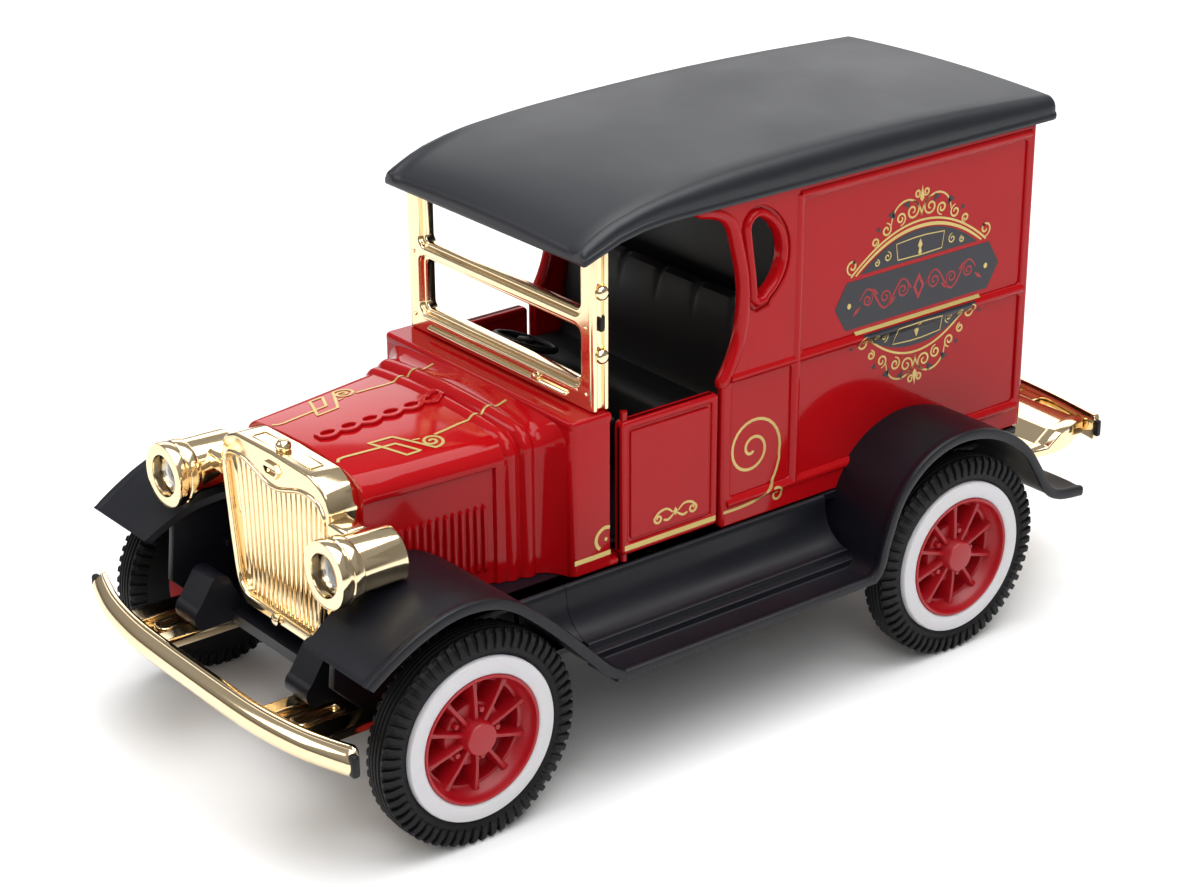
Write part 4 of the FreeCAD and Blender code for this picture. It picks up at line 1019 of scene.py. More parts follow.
@dataclass
class Roof:
    """Satin black roof: crowned across, curved along, drooping over the screen."""

    half_width: float = 22.6
    lip: float = 0.3
    crease: float = 20.2
    underside: tuple[Point2, ...] = ((-24.9, 69.3), (-22.6, 70.1), (-19, 71.35), (-15, 72.1), (-11, 72.4),
        (60, 72.4))
    crown: tuple[Point2, ...] = ((-25, 71.25), (-22.6, 72.85), (-19.8, 74.1), (-16.5, 75.05), (-13.2, 75.8),
        (-8.8, 76.45), (-4.3, 76.9), (2, 77.3), (14, 77.62), (28, 77.7), (44, 77.35), (60.4, 76.5))

    def ring(self, y: float, shrink: float = 0, low_extra: float = 0) -> list[Point3]:
        """Cross-section of the roof at y, pulled in by shrink at its edges."""
        low = between(self.underside, y)[0] + low_extra
        top = between(smooth_path(self.crown, 5), y)[0] - shrink
        half = self.half_width - shrink
        rise = top - 0.75
        side = [(half - self.lip, low), (half - 0.06, low + 0.12), (half, low + 0.34),
            (half - 0.04, low + 0.8)]
        side += [(half - self.lip, low + 1.02), (half - self.lip, low + 1.2)]
        shoulder_low = (half - self.lip, max(low + 1.25, rise - 3.1))
        crease = min(self.crease, half - 1.6)
        side += arc(shoulder_low, (half - 0.8, (shoulder_low[1] + rise) / 2 + 0.55), (crease, rise + 0.15), 6)
        crown_x = [crease * (1 - index / 10) for index in range(1, 10)]
        side += [(x, rise + 0.15 + 0.6 * (1 - (x / crease) ** 2)) for x in crown_x]
        across = side + [(0, rise + 0.75)] + [(-x, z) for x, z in side[::-1]]
        return [(x, y, z) for x, z in across]

    def build(self, finishes: Finishes) -> None:
        """Makes the roof as one closed moulding."""
        stations = [-24.6, -24, -22.6, -21, -19, -17, -15, -13, -11, -8.8, -6, -4.3, -1, 2, 8]
        stations += [14, 21, 28, 36, 44, 52, 58, 60.6]
        rings = [self.ring(-24.98, 0.75, 0.5), self.ring(-24.92, 0.35, 0.18), self.ring(-24.8, 0.12, 0.02)]
        rings += [self.ring(y) for y in stations]
        for y, shrink in ((61.2, 0.08), (61.6, 0.3), (61.8, 0.62), (61.88, 1)):
            rings.append(self.ring(y, shrink, shrink * 0.3))
        shape = loft(rings)
        make_piece("roof_cover", shape, finishes.roof, "van", ["roof"], sharp=48)


@dataclass
class Windshield:
    """Gold double-pane screen frame with stepped rims, rivets, knobs and a lower bar."""

    front_y: float = -22.4
    rear_y: float = -19.6
    half_width: float = 20.5
    low_z: float = 48.0
    high_z: float = 70.4
    pane_half: float = 18.2
    panes: tuple[Point2, ...] = ((51.2, 59.5), (61, 69.4))
    step: float = 0.75
    knob_z: tuple[float, ...] = (55.9, 64.7)

    def frame(self) -> Shape:
        """Outer frame and the thinner stepped rim inside each pane."""
        facing = front_place(0)
        outline = slab_outline((-self.half_width, self.half_width), (self.low_z, self.high_z), 0.5)
        half = self.pane_half + 0.1
        wide = [slab_outline((-half, half), (low - 0.1, high + 0.1), 1.4) for low, high in self.panes]
        half = self.pane_half - self.step
        narrow = [slab_outline((-half, half), (low + 0.5, high - 0.5), 1) for low, high in self.panes]
        depth = (-self.rear_y, -self.front_y)
        shape = plate(outline, wide, depth, 0.42, facing, steps=4)
        half = self.half_width - 0.6
        inner = slab_outline((-half, half), (self.low_z + 0.6, self.high_z - 0.6), 0.5)
        shape.add(plate(inner, narrow, (depth[0] + 0.5, depth[1] - 0.62), 0.3, facing))
        return shape

    def trims(self, repeater: Repeater) -> Shape:
        """Lower bar with its nub, side ribs, knobs and rivets."""
        y = self.front_y
        bar = tube([(x, y - 0.1, 49.2) for x in (-15.6, -7, 0, 7, 15.2)], 0.5, 12)
        ledge = block((-17.6, 17.6), (y - 0.12, y + 0.6), (50.25, 50.7), 0.1)
        nub = turned([(y - 0.95, 0), (y - 0.9, 0.35), (y - 0.6, 0.5), (y + 0.2, 0.5)], Axis.Y, (9, 0, 49.9),
            16)
        shape = Shape().add(bar, ledge, nub)
        rivet = turned([(y - 0.26, 0), (y - 0.2, 0.2), (y - 0.05, 0.3), (y + 0.2, 0.3)], Axis.Y,
            (19.4, 0, 50.4), 10)
        shape.add(repeater.run(rivet, 3, (0, 0, 9.35)).both_sides())
        for z in self.knob_z:
            knob = [(19.8, 0.5), (20.5, 0.55), (20.75, 0.9), (21.2, 1), (21.55, 0.8), (21.7, 0.45),
                (21.74, 0)]
            shape.add(turned(knob, Axis.X, (0, -21, z), 24).both_sides())
        for y_low, y_high in ((-22.3, -21.55), (-20.45, -19.7)):
            rib = block((20.2, 20.95), (y_low, y_high), (self.low_z + 0.1, self.high_z - 0.3), 0.28)
            shape.add(rib.both_sides())
        return shape

    def build(self, finishes: Finishes, repeater: Repeater) -> None:
        """Makes the frame, and the black peg that shows between its side ribs."""
        shape = self.frame().add(self.trims(repeater))
        make_piece("screen_frame", shape, finishes.gold, "van", ["windshield_frame"])
        peg = block((20.4, 21.3), (-21.4, -20.6), (59.4, 61.2), 0.25).both_sides()
        make_piece("screen_pegs", peg, finishes.interior, "van", slot="interior_plastic")


@dataclass
class CabInterior:
    """Black moulding inside the cab: floor, dashboard, pleated bench and partition."""

    half_width: float = 18.6
    pleat_pitch: float = 8.0

    def bench(self) -> Shape:
        """Bench with a crowned cushion and a back whose pleats are shallow grooves."""

        def pleat(x: float) -> float:
            """Depth of the pleats at x."""
            phase = ((x - 1.2) / self.pleat_pitch) % 1
            return 0.45 * math.exp(-((min(phase, 1 - phase) * self.pleat_pitch) ** 2) / 0.18)

        section = [(-3.7, 28), (-3.9, 34), (-3.7, 40.6), (-3, 41.7), (-1.6, 42.2), (1.4, 42.2), (2.6, 42)]
        section += [(3, 43), (3.6, 47), (4.2, 51.5), (4.45, 53), (4.7, 55.4), (5.2, 56.5), (6.2, 57),
            (7.2, 56.6)]
        section += [(7.7, 55.6), (7.8, 42), (7.8, 28)]
        rings = []
        count = 96
        for index in range(count + 1):
            x = -self.half_width + 2 * self.half_width * index / count
            depth = pleat(x)
            ring = []
            for place, (y, z) in enumerate(section):
                on_back, on_top = 11 <= place <= 12, 12 <= place <= 15
                ring.append((x, y + depth * on_back, z - depth * 0.7 * on_top))
            rings.append(ring)
        return loft(rings)

    def build(self, finishes: Finishes) -> None:
        """Makes the interior as one piece."""
        shape = self.bench()
        # Floor, bulkhead, dashboard top and partition.
        for half, y, z, radius in ((18.8, (-24.6, 10.6), (27.2, 28.4), 0.2),
                (19.6, (-24.6, -22.8), (27.6, 45.6), 0.3), (19.6, (-24.6, -17.4), (44.7, 46), 0.5),
                (20.1, (9.4, 10.6), (28.8, 72), 0.3)):
            shape.add(block((-half, half), y, z, radius))
        dial = [(-17.7, 0), (-17.7, 1.5), (-17.4, 1.7), (-17, 1.7)]
        shape.add(turned(dial, Axis.Y, (4, 0, 45.2), 24))
        make_piece("cab_tub", shape, finishes.interior, "van", ["cab_interior"])


@dataclass
class SteeringWheel:
    """Black steering wheel with four spokes on its raked column."""

    centre: Point3 = (-9.9, -10.3, 46.0)
    tilt_degrees: float = 20.0
    radius: float = 4.4
    rim: float = 0.5

    def tilted(self, x: float, y: float, z: float) -> Point3:
        """Takes wheel coordinates, with its axis up, into the van."""
        tilt = math.radians(self.tilt_degrees)
        cx, cy, cz = self.centre
        return (cx + x, cy + y * math.cos(tilt) + z * math.sin(tilt),
            cz - y * math.sin(tilt) + z * math.cos(tilt))

    def build(self, finishes: Finishes) -> None:
        """Makes the wheel, its spokes, hub and column as one piece."""
        around, sides = 56, 12
        rings = []
        for index in range(around):
            angle = math.tau * index / around
            ring = []
            for side in range(sides):
                turn = math.tau * side / sides
                reach = self.radius + self.rim * math.cos(turn)
                ring.append((reach * math.cos(angle), reach * math.sin(angle), self.rim * math.sin(turn)))
            rings.append(ring)
        shape = loft(rings, looped=True)
        for index in range(4):
            angle = math.pi / 4 + math.pi / 2 * index
            path = [(r * math.cos(angle), r * math.sin(angle), -0.25 + 0.05 * r) for r in (0.6, 2, 3.4, 4.4)]
            shape.add(tube(path, 0.38, 8))
        hub = [(-0.9, 0), (-0.9, 1.1), (0.2, 1.3), (0.55, 1.1), (0.7, 0.5), (0.72, 0)]
        column = [(-18.4, 0), (-18.4, 1), (-1, 1), (-0.6, 1.2), (-0.5, 0)]
        shape.add(turned(hub, Axis.Z, around=28), turned(column, Axis.Z, around=28))
        make_piece("steering_rim", shape.mapped(self.tilted), finishes.interior, "van", ["steering_wheel"])


# ---- wings


@dataclass
class Wings:
    """Satin black wings and running board of one side, in one moulding."""

    side: Side
    inner_x: float = 19.4
    outer_x: float = 33.9
    sheet: float = 1.1
    board_z: float = 17.0
    rail_top: float = 24.4
    shelf_top: float = 25.5
    front_inner: tuple[Point2, ...] = ((-67.6, 19.8), (-62, 18.6), (-57.6, 16.6), (-54, 14.6), (-48, 14.9),
        (-40, 15.9), (-27, 17.2))
    front_line: tuple[Point2, ...] = ((-67.4, 28.3), (-64.6, 30.2), (-60.3, 32.5), (-55.6, 34.1),
        (-51.5, 34.5), (-47.4, 33.8), (-44.2, 32.2), (-40.8, 29.5), (-36.6, 25.6), (-32.4, 21.3),
        (-29.6, 18.5), (-27.2, 17))
    rear_line: tuple[Point2, ...] = ((17.2, 17), (18.4, 18.4), (19.4, 22), (21.9, 27.9), (26.4, 32.2),
        (31.9, 34.2), (37.6, 34), (43.1, 32), (47.5, 28.7), (50.4, 24.7), (52.6, 21.2), (55.3, 19.5),
        (59.7, 18.9))

    def wing(self, line: Loop, inner: Callable[[float], float]) -> Shape:
        """Curved sheet across the wheel with a rolled lip along its outer edge.

        Args:
            line: the outer edge's top, as (y, z).
            inner: gives the sheet's inner edge x at y.
        Returns:
            The closed sheet.
        """
        path = smooth_path(line, 5)
        rings = []
        for index, (y, z) in enumerate(path):
            way = way_at(path, index)
            up = Vector((-way.y, way.x))
            inside = inner(y)
            out = self.outer_x
            across = [(inside, 0), (out - 6, 0.12), (out - 3, 0.1), (out - 1.6, 0), (out - 1.2, 0.02)]
            across += [(out - 0.9, 0.16), (out - 0.45, 0.2), (out - 0.12, 0.06), (out, -0.3), (out, -0.9)]
            across += [(out - 0.15, -1.25), (out - 0.5, -1.35), (out - 0.9, -1.2), (out - 1.1, -self.sheet)]
            across += [(inside, -self.sheet)]
            rings.append([(x, y + up.x * h, z + up.y * h) for x, h in across])
        tip = [sum(point[axis] for point in rings[0]) / len(rings[0]) for axis in range(3)]
        for shrink, reach in ((0.9, 0.12), (0.6, 0.22)):
            ring = [(x, y - reach, tip[2] + (z - tip[2]) * shrink) for x, y, z in rings[0]]
            rings = [ring, *rings]
        return loft(rings)

    def board(self) -> Shape:
        """Running board: inner ridge, concave valance, two tread steps and a flat board."""
        valance = [(self.inner_x, self.shelf_top), (21.9, self.shelf_top), (22.3, 25.45), (22.6, 25.2)]
        valance += [(22.72, 24.6), *arc((22.8, 24), (24, 20.7), (26.6, 19.1), 8)]
        under = arc((25.9, 17.8), (22.9, 19.9), (21.6, self.rail_top), 6) + [(self.inner_x, self.rail_top)]
        top = valance + [(27, 19), (27.5, 19), (27.62, 18.9), (27.66, 18.2), (27.75, 18.06), (27.9, 18.02)]
        top += [(28.7, 18), (28.84, 17.9), (28.88, 17.2), (28.96, 17.06), (29.1, 17)]
        top += [(32.6, self.board_z), (32.75, 17.14), (33.1, 17.2), (33.5, 17.2), (33.8, 17), (33.9, 16.6)]
        section = top + [(33.8, 16), (33.4, 15.9), (27.4, 15.9), (26.4, 17.6)] + under
        rings = [[(x, y, z) for x, z in section] for y in (-28.6, -28.2, -10, 5, 17.4, 18)]
        nose = [[(x, y, z) for x, z in valance + under] for y in (-36.4, -28.4)]
        return loft(rings).add(loft(nose))

    def skirt(self, low_y: float, high_y: float, line: Loop, nose: float) -> Shape:
        """Inner wall below a wing's sheet, with its lower front corner cut off by nose."""
        arch = [(y, z - 0.6) for y, z in smooth_path(line, 3) if low_y < y < high_y]
        outline = [(low_y + nose, 17), (low_y, 17 + nose), *[(y, z) for y, z in arch if z > 17.2],
            (high_y, 17)]
        return plate(outline, [], (self.inner_x, self.inner_x + self.sheet), 0.2, side_place(0))

    def shelf(self) -> Shape:
        """Flat shelf below the body, wider beside the hood."""
        z = (self.rail_top, self.shelf_top)
        shape = block((18, 22.2), (-56, 57.2), z, 0.2)
        return shape.add(block((13.7, 19), (-52, -26.6), (z[0] + 0.02, z[1] - 0.02), 0.2))

    def build(self, finishes: Finishes) -> None:
        """Makes the side's wings as one piece."""
        hood_side = smooth_path(self.front_inner, 4)
        shape = self.wing(self.front_line, lambda y: between(hood_side, y)[0])
        shape.add(self.wing(self.rear_line, lambda y: self.inner_x), self.board(), self.shelf())
        shape.add(self.skirt(-64.2, -30, self.front_line, 4.2), self.skirt(19, 57, self.rear_line, 0.5))
        side = self.side.value
        make_piece(f"{side}_wing_moulding", shape.on(self.side), finishes.wings, "van", [f"wing_{side}"],
            sharp=42)


# ---- bright trim


@dataclass
class Radiator:
    """Gold radiator shell, its brow, ornaments and lamp arms, and the ribbed grille."""

    front_y: float = -59.0
    rear_y: float = -54.0
    foot_z: float = 20.2
    top_z: float = 45.5
    ribs: int = 19
    rib_pitch: float = 1.23

    def outline(self) -> list[Point2]:
        """Outer outline, wide at the top and narrow at the foot, with cut corners."""
        side = [(8.6, self.foot_z, 0.6), (10.5, 22.2, 1), (13.2, 41.2, 1.6), (12.3, 44, 2.6), (9, 45.35, 4)]
        other = [(-x, z, radius) for x, z, radius in side]
        return rounded([other[0], *side, (0, self.top_z + 0.1, 30), *other[:0:-1]], 4)

    def opening(self) -> list[Point2]:
        """Grille opening: rounded foot, and a brow with two lobes and a dip."""
        half = [(7.2, 22.2), (8.6, 22.7), (9.6, 24.2), (10.1, 27), (11, 33.5), (11.75, 39.4), (11.5, 40.7)]
        half += [(10.6, 41.7), (8.6, 42.15), (6.4, 41.95), (3.6, 41.1), (1.7, 40.55), (0, 40.4)]
        right = smooth_path(half, 3)
        return right + [(-x, z) for x, z in right[-2::-1]]

    def shell(self) -> Shape:
        """Surround with a raised inner lip, a rear band, and its ornaments."""
        facing = front_place(0)
        outline = turned_way(self.outline(), True)
        opening = turned_way(self.opening(), True)
        depth = (-self.rear_y, -self.front_y)
        shape = plate(outline, [opening], depth, 0.5, facing, steps=4)
        lip_outer = inset(opening, -0.75)
        shape.add(moulding(lip_outer, inset(opening, 0.05), 0.36, front_place(self.front_y + 0.02),
            closed=True))
        cap = [(44.6, 0), (44.6, 0.95), (45.3, 0.9), (45.42, 0.7), (45.5, 0.85), (45.85, 1.08), (46.3, 1.05),
            (46.75, 0.7), (46.95, 0)]
        shape.add(turned(cap, Axis.Z, (0, -57.1, 0), 28))
        corners = [(-2, 43.2), (-1.2, 42.2), (1.2, 42.2), (2, 43.2), (1.2, 44.2), (-1.2, 44.2)]
        badge = rounded([(x, z, 0.2) for x, z in corners])
        front = -self.front_y
        shape.add(plate(badge, [inset(turned_way(badge, True), 0.35)], (front - 0.3, front + 0.4), 0.12,
            facing))
        boss = [(-60.2, 0), (-60.15, 0.45), (-59.9, 0.8), (-59.4, 0.9), (-58.8, 0.6), (-58.6, 0.6)]
        shape.add(turned(boss, Axis.Y, (0, 0, 21.6), 24))
        return shape.add(self.hatch(), self.side_tab())

    def hatch(self) -> Shape:
        """Raised border of the small hatch on the shell's top."""
        ring = slab_outline((-6.6, 7.4), (-57.9, -55.6), 0.3)
        hole = slab_outline((-6.45, 7.25), (-57.75, -55.75), 0.2)
        return plate(ring, [hole], (-0.2, 0.05), 0.02, lambda x, y, h: (x, y, 45.62 - 0.0026 * x * x + h))

    def side_tab(self) -> Shape:
        """Faceted tab low on each side of the shell, and the lamp arms."""
        facets = [(-57.6, 24.4), (-55.6, 24.4), (-54.6, 26.2), (-55.6, 28.2), (-57.6, 28.2), (-58.4, 26.2)]
        tab = plate(rounded([(y, z, 0.2) for y, z in facets]), [], (10.4, 12.4), 0.3, side_place(0))
        arm = rounded([(-59, 37.8, 0.6), (-55.4, 37.8, 0.6), (-55.4, 40.4, 0.9), (-59, 40.4, 0.9)])
        arm_shape = plate(arm, [], (12, 17), 0.3, side_place(0))
        return tab.add(arm_shape).both_sides()

    def grille(self, repeater: Repeater) -> Shape:
        """Backing plate with upright half-round ribs, each ended at the opening's edge."""
        backing_y = self.front_y + 0.95
        outline = inset(turned_way(self.opening(), True), -0.4)
        shape = plate(outline, [], (-backing_y - 0.8, -backing_y), 0.15, front_place(0))
        opening = self.opening()
        tall = max(z for _, z in opening)
        rib = tube([(0, backing_y + 0.05, z) for z in (22, 28, 34, tall - 1.2)], 0.46, 12)
        seed = rib.moved(x=-(self.ribs - 1) / 2 * self.rib_pitch)
        rows = repeater.run(seed, self.ribs, (self.rib_pitch, 0, 0))
        edge = [(x, z) for x, z in opening if x >= 0]

        def limits(x: float) -> Point2:
            """Lowest and highest z of the opening at x."""
            upper = [(a, b) for a, b in edge if b > 39]
            lower = [(a, b) for a, b in edge if b < 39.5]
            top = min(upper, key=lambda p: abs(p[0] - x))[1]
            foot = self.foot_z + 2 if x < 7 else min(lower, key=lambda p: abs(p[0] - x))[1]
            return foot, top

        def fit(x: float, y: float, z: float) -> Point3:
            """Stretches a rib between the opening's foot and brow."""
            column = abs(round(x / self.rib_pitch) * self.rib_pitch)
            foot, top = limits(column)
            share = (z - 22) / (tall - 1.2 - 22)
            lean = 1 - 0.12 * (1 - share)
            return (x * lean, y, foot + share * (top - foot))

        return shape.add(rows.mapped(fit))

    def build(self, finishes: Finishes, repeater: Repeater) -> None:
        """Makes the shell and the grille."""
        make_piece("radiator_surround", self.shell(), finishes.gold, "van", ["radiator_shell"])
        make_piece("grille_ribs", self.grille(repeater), finishes.gold, "van", ["radiator_grille"])


@dataclass
class Headlamp:
    """One headlamp: stepped gold can, plated bowl with a bulb, and a domed lens."""

    side: Side
    x: float = 19.6
    z: float = 36.9
    flat_z: float = 34.9

    def can(self) -> Shape:
        """Stepped can with its bezel, cut flat above the wing."""
        centre = (self.x, 0, self.z)
        can = [(-57.2, 0), (-57.2, 3.1), (-62.6, 3.15), (-63.9, 2.9), (-64.24, 2.95), (-64.33, 3.12)]
        can += [(-64.33, 4.34), (-64.25, 4.52), (-64, 4.6), (-63.1, 4.6), (-62.8, 4.52), (-62.68, 4.28)]
        can += [(-62.4, 4.26), (-62.25, 4.44), (-61.9, 4.5), (-60.95, 4.46), (-60.72, 4.36), (-60.6, 4.2)]
        can += [(-54.5, 4.12), (-54.1, 4.05), (-53.92, 3.85), (-53.9, 3.6), (-53.9, 0)]
        shape = turned(can, Axis.Y, centre, around=72)

        def flatten(x: float, y: float, z: float) -> Point3:
            """Cuts the can flat above the wing."""
            return (x, y, max(z, self.flat_z)) if y > -61.4 else (x, y, z)

        return shape.mapped(flatten)

    def bowl(self) -> Shape:
        """Plated bowl with the bulb moulded in it."""
        centre = (self.x, 0, self.z)
        bowl = [(-57.9, 0), (-58, 1), (-58.9, 1.9), (-60.4, 2.6), (-61.9, 3), (-61.9, 3.12)]
        bowl += [(-60.3, 2.8), (-58.6, 2.1), (-57.7, 1.2), (-57.6, 0)]
        bulb = [(-58.2, 0), (-58.2, 0.55), (-59.6, 0.6), (-60, 0.95), (-60.9, 1.1), (-61.6, 0.85)]
        bulb += [(-61.95, 0.4), (-62.05, 0)]
        return turned(bowl, Axis.Y, centre, 48).add(turned(bulb, Axis.Y, centre, 32))

    def lens(self) -> Shape:
        """Thin domed lens."""
        lens = [(-63.75, 0), (-63.7, 0.8), (-63.55, 1.5), (-63.3, 2.2), (-62.95, 2.8), (-62.65, 3.05),
            (-62.3, 3.1)]
        lens += [(-62.2, 2.95), (-62.5, 2.2), (-62.7, 1.5), (-62.85, 0.8), (-62.9, 0)]
        return turned(lens, Axis.Y, (self.x, 0, self.z), 48)

    def build(self, finishes: Finishes) -> None:
        """Makes the lamp's three pieces."""
        side = self.side.value
        for name, node, shape, finish in (("body", "can", self.can(), finishes.gold),
                ("bowl", "reflector", self.bowl(), finishes.silver),
                ("lens", "lens", self.lens(), finishes.lens)):
            make_piece(f"{side}_lamp_{name}", shape.on(self.side), finish, "van", [f"headlamp_{node}_{side}"])


@dataclass
class FrontBumper:
    """Bowed gold bar with a ledge line, its arms, and the bare plastic at its tips."""

    low_z: float = 15.0
    high_z: float = 19.4

    def bar(self) -> Shape:
        """Bar swept along its bow, with a ledge along the top and curled ends."""
        half = [(0, -72.7), (7, -72.68), (14, -72.5), (19.5, -71.95), (24.5, -71.05), (29, -69.7),
            (31.3, -68.85)]
        path = smooth_path([(-x, y) for x, y in half[:0:-1]] + half, 4)
        middle = (self.low_z + self.high_z) / 2
        section = arc((0.15, -1.95), (1.3, 0), (0.2, 1.65), 10) + [(-0.05, 1.75), (-0.12, 2.05), (-0.3, 2.2)]
        section += [(-0.75, 2.2), (-0.95, 2.05), (-0.95, -1.95), (-0.75, -2.15), (-0.3, -2.2)]
        ends = ((0.35, 0.93), (0.75, 0.78), (1.05, 0.5))
        return swept(path, section, middle, ends)

    def arms(self) -> Shape:
        """Flat arms with a bright inner rail, an outer rail and a slotted rib."""
        shape = block((11.6, 14.4), (-72, -56.8), (15.4, 17), 0.3)
        shape.add(block((19.6, 23.4), (-71.4, -56.8), (15.4, 16.7), 0.3))
        shape.add(block((14, 20), (-71.6, -56.8), (15.4, 15.9), 0.15))
        slot = slab_outline((15.6, 18.6), (-68.4, -60.6), 1.2)
        hole = slab_outline((16.3, 17.9), (-67.7, -61.3), 0.7)
        return shape.add(plate(slot, [hole], (15.7, 16.5), 0.2, top_place(0))).both_sides()

    def build(self, finishes: Finishes) -> None:
        """Makes the bar with its arms, and the black tips."""
        make_piece("front_bumper_bar", self.bar().add(self.arms()), finishes.gold, "van", ["front_bumper"])
        tip = block((31.5, 32.95), (-69.6, -68.4), (15.6, 18.8), 0.5, corner=0.5).both_sides()
        make_piece("front_bumper_tips", tip, finishes.interior, "van", slot="interior_plastic")


@dataclass
class TailTrim:
    """Gold luggage step and the thin bowed channel bumper behind it."""

    deck_z: float = 23.8
    ledge_z: float = 22.0

    def step(self) -> Shape:
        """Deck with a sloped front facet, a raised border and a ledge against the body."""
        stations = [(58.4, 24.6, self.ledge_z), (61.2, 25.1, self.ledge_z),
            (61.4, 25.15, self.ledge_z + 0.06), (63.5, 25.35, self.deck_z - 0.08), (63.8, 25.3, self.deck_z),
            (66.5, 24.7, self.deck_z), (70.3, 23.6, self.deck_z), (70.7, 23.45, self.deck_z - 0.15),
            (70.85, 23.3, self.deck_z - 0.6)]
        rings = []
        for y, half, top in stations:
            low = 20.6 if y < 70 else 21.4
            half_ring = [(half - 0.35, low), (half - 0.05, low + 0.2), (half, low + 0.5), (half, top - 0.4)]
            half_ring += [(half - 0.12, top - 0.12), (half - 0.4, top), (half - 2.4, top),
                (half - 2.6, top - 0.1)]
            half_ring += [(half - 2.75, top - 0.28), (half - 3, top - 0.32), (6, top - 0.32)]
            rings.append([(x, y, z) for x, z in half_ring] + [(-x, y, z) for x, z in half_ring[::-1]])
        shape = loft(rings)
        return shape.add(block((-15, 15), (56.6, 60), (20.6, 21.9), 0.2))

    def bumper(self) -> Shape:
        """Thin channel with two edge lines along its outer face."""
        half = [(0, 73.3), (8, 73.05), (16, 72.35), (22, 71.5), (25.4, 70.95)]
        path = smooth_path(half[::-1] + [(-x, y) for x, y in half[1:]], 4)
        section = [(0.6, -1.95), (0.68, -1.7), (0.6, -1.45), (0.35, -1.3), (0.3, 0), (0.35, 1.3), (0.6, 1.45)]
        section += [(0.68, 1.7), (0.6, 1.95), (0.3, 2), (-0.3, 2), (-0.4, 1.8), (-0.4, -1.8), (-0.3, -2),
            (0.3, -2)]
        shape = swept(path, section, 22.9, ((0.25, 0.9), (0.5, 0.6)))
        return shape.add(block((9, 13), (70.4, 73), (21.6, 23.4), 0.25).both_sides())

    def build(self, finishes: Finishes) -> None:
        """Makes the step and the bumper."""
        make_piece("tail_step_deck", self.step(), finishes.gold, "van", ["rear_step"])
        make_piece("tail_bumper_bar", self.bumper(), finishes.gold, "van", ["rear_bumper"])
        tip = block((25.5, 26.5), (70.5, 71.4), (21.6, 24.2), 0.3).both_sides()
        make_piece("tail_bumper_tips", tip, finishes.interior, "van", slot="interior_plastic")


# ---- printed decoration


def spiral(centre: Point2, outer: float, inner: float, turns: float, start: float,
        steps: int = 18) -> list[Point2]:
    """Points of a spiral that winds inwards from angle start; negative turns wind clockwise."""
    count = max(6, int(abs(turns) * steps))
    points = []
    for index in range(count + 1):
        share = index / count
        radius = outer + (inner - outer) * share**0.85
        angle = start + math.tau * turns * share
        points.append((centre[0] + radius * math.cos(angle), centre[1] + radius * math.sin(angle)))
    return points


def tapered(count: int, width: float, ends: float = 0.35) -> list[float]:
    """Widths of a stroke that thins towards both ends."""
    return [width * (ends + (1 - ends) * math.sin(math.pi * (i + 0.5) / count) ** 0.5) for i in range(count)]


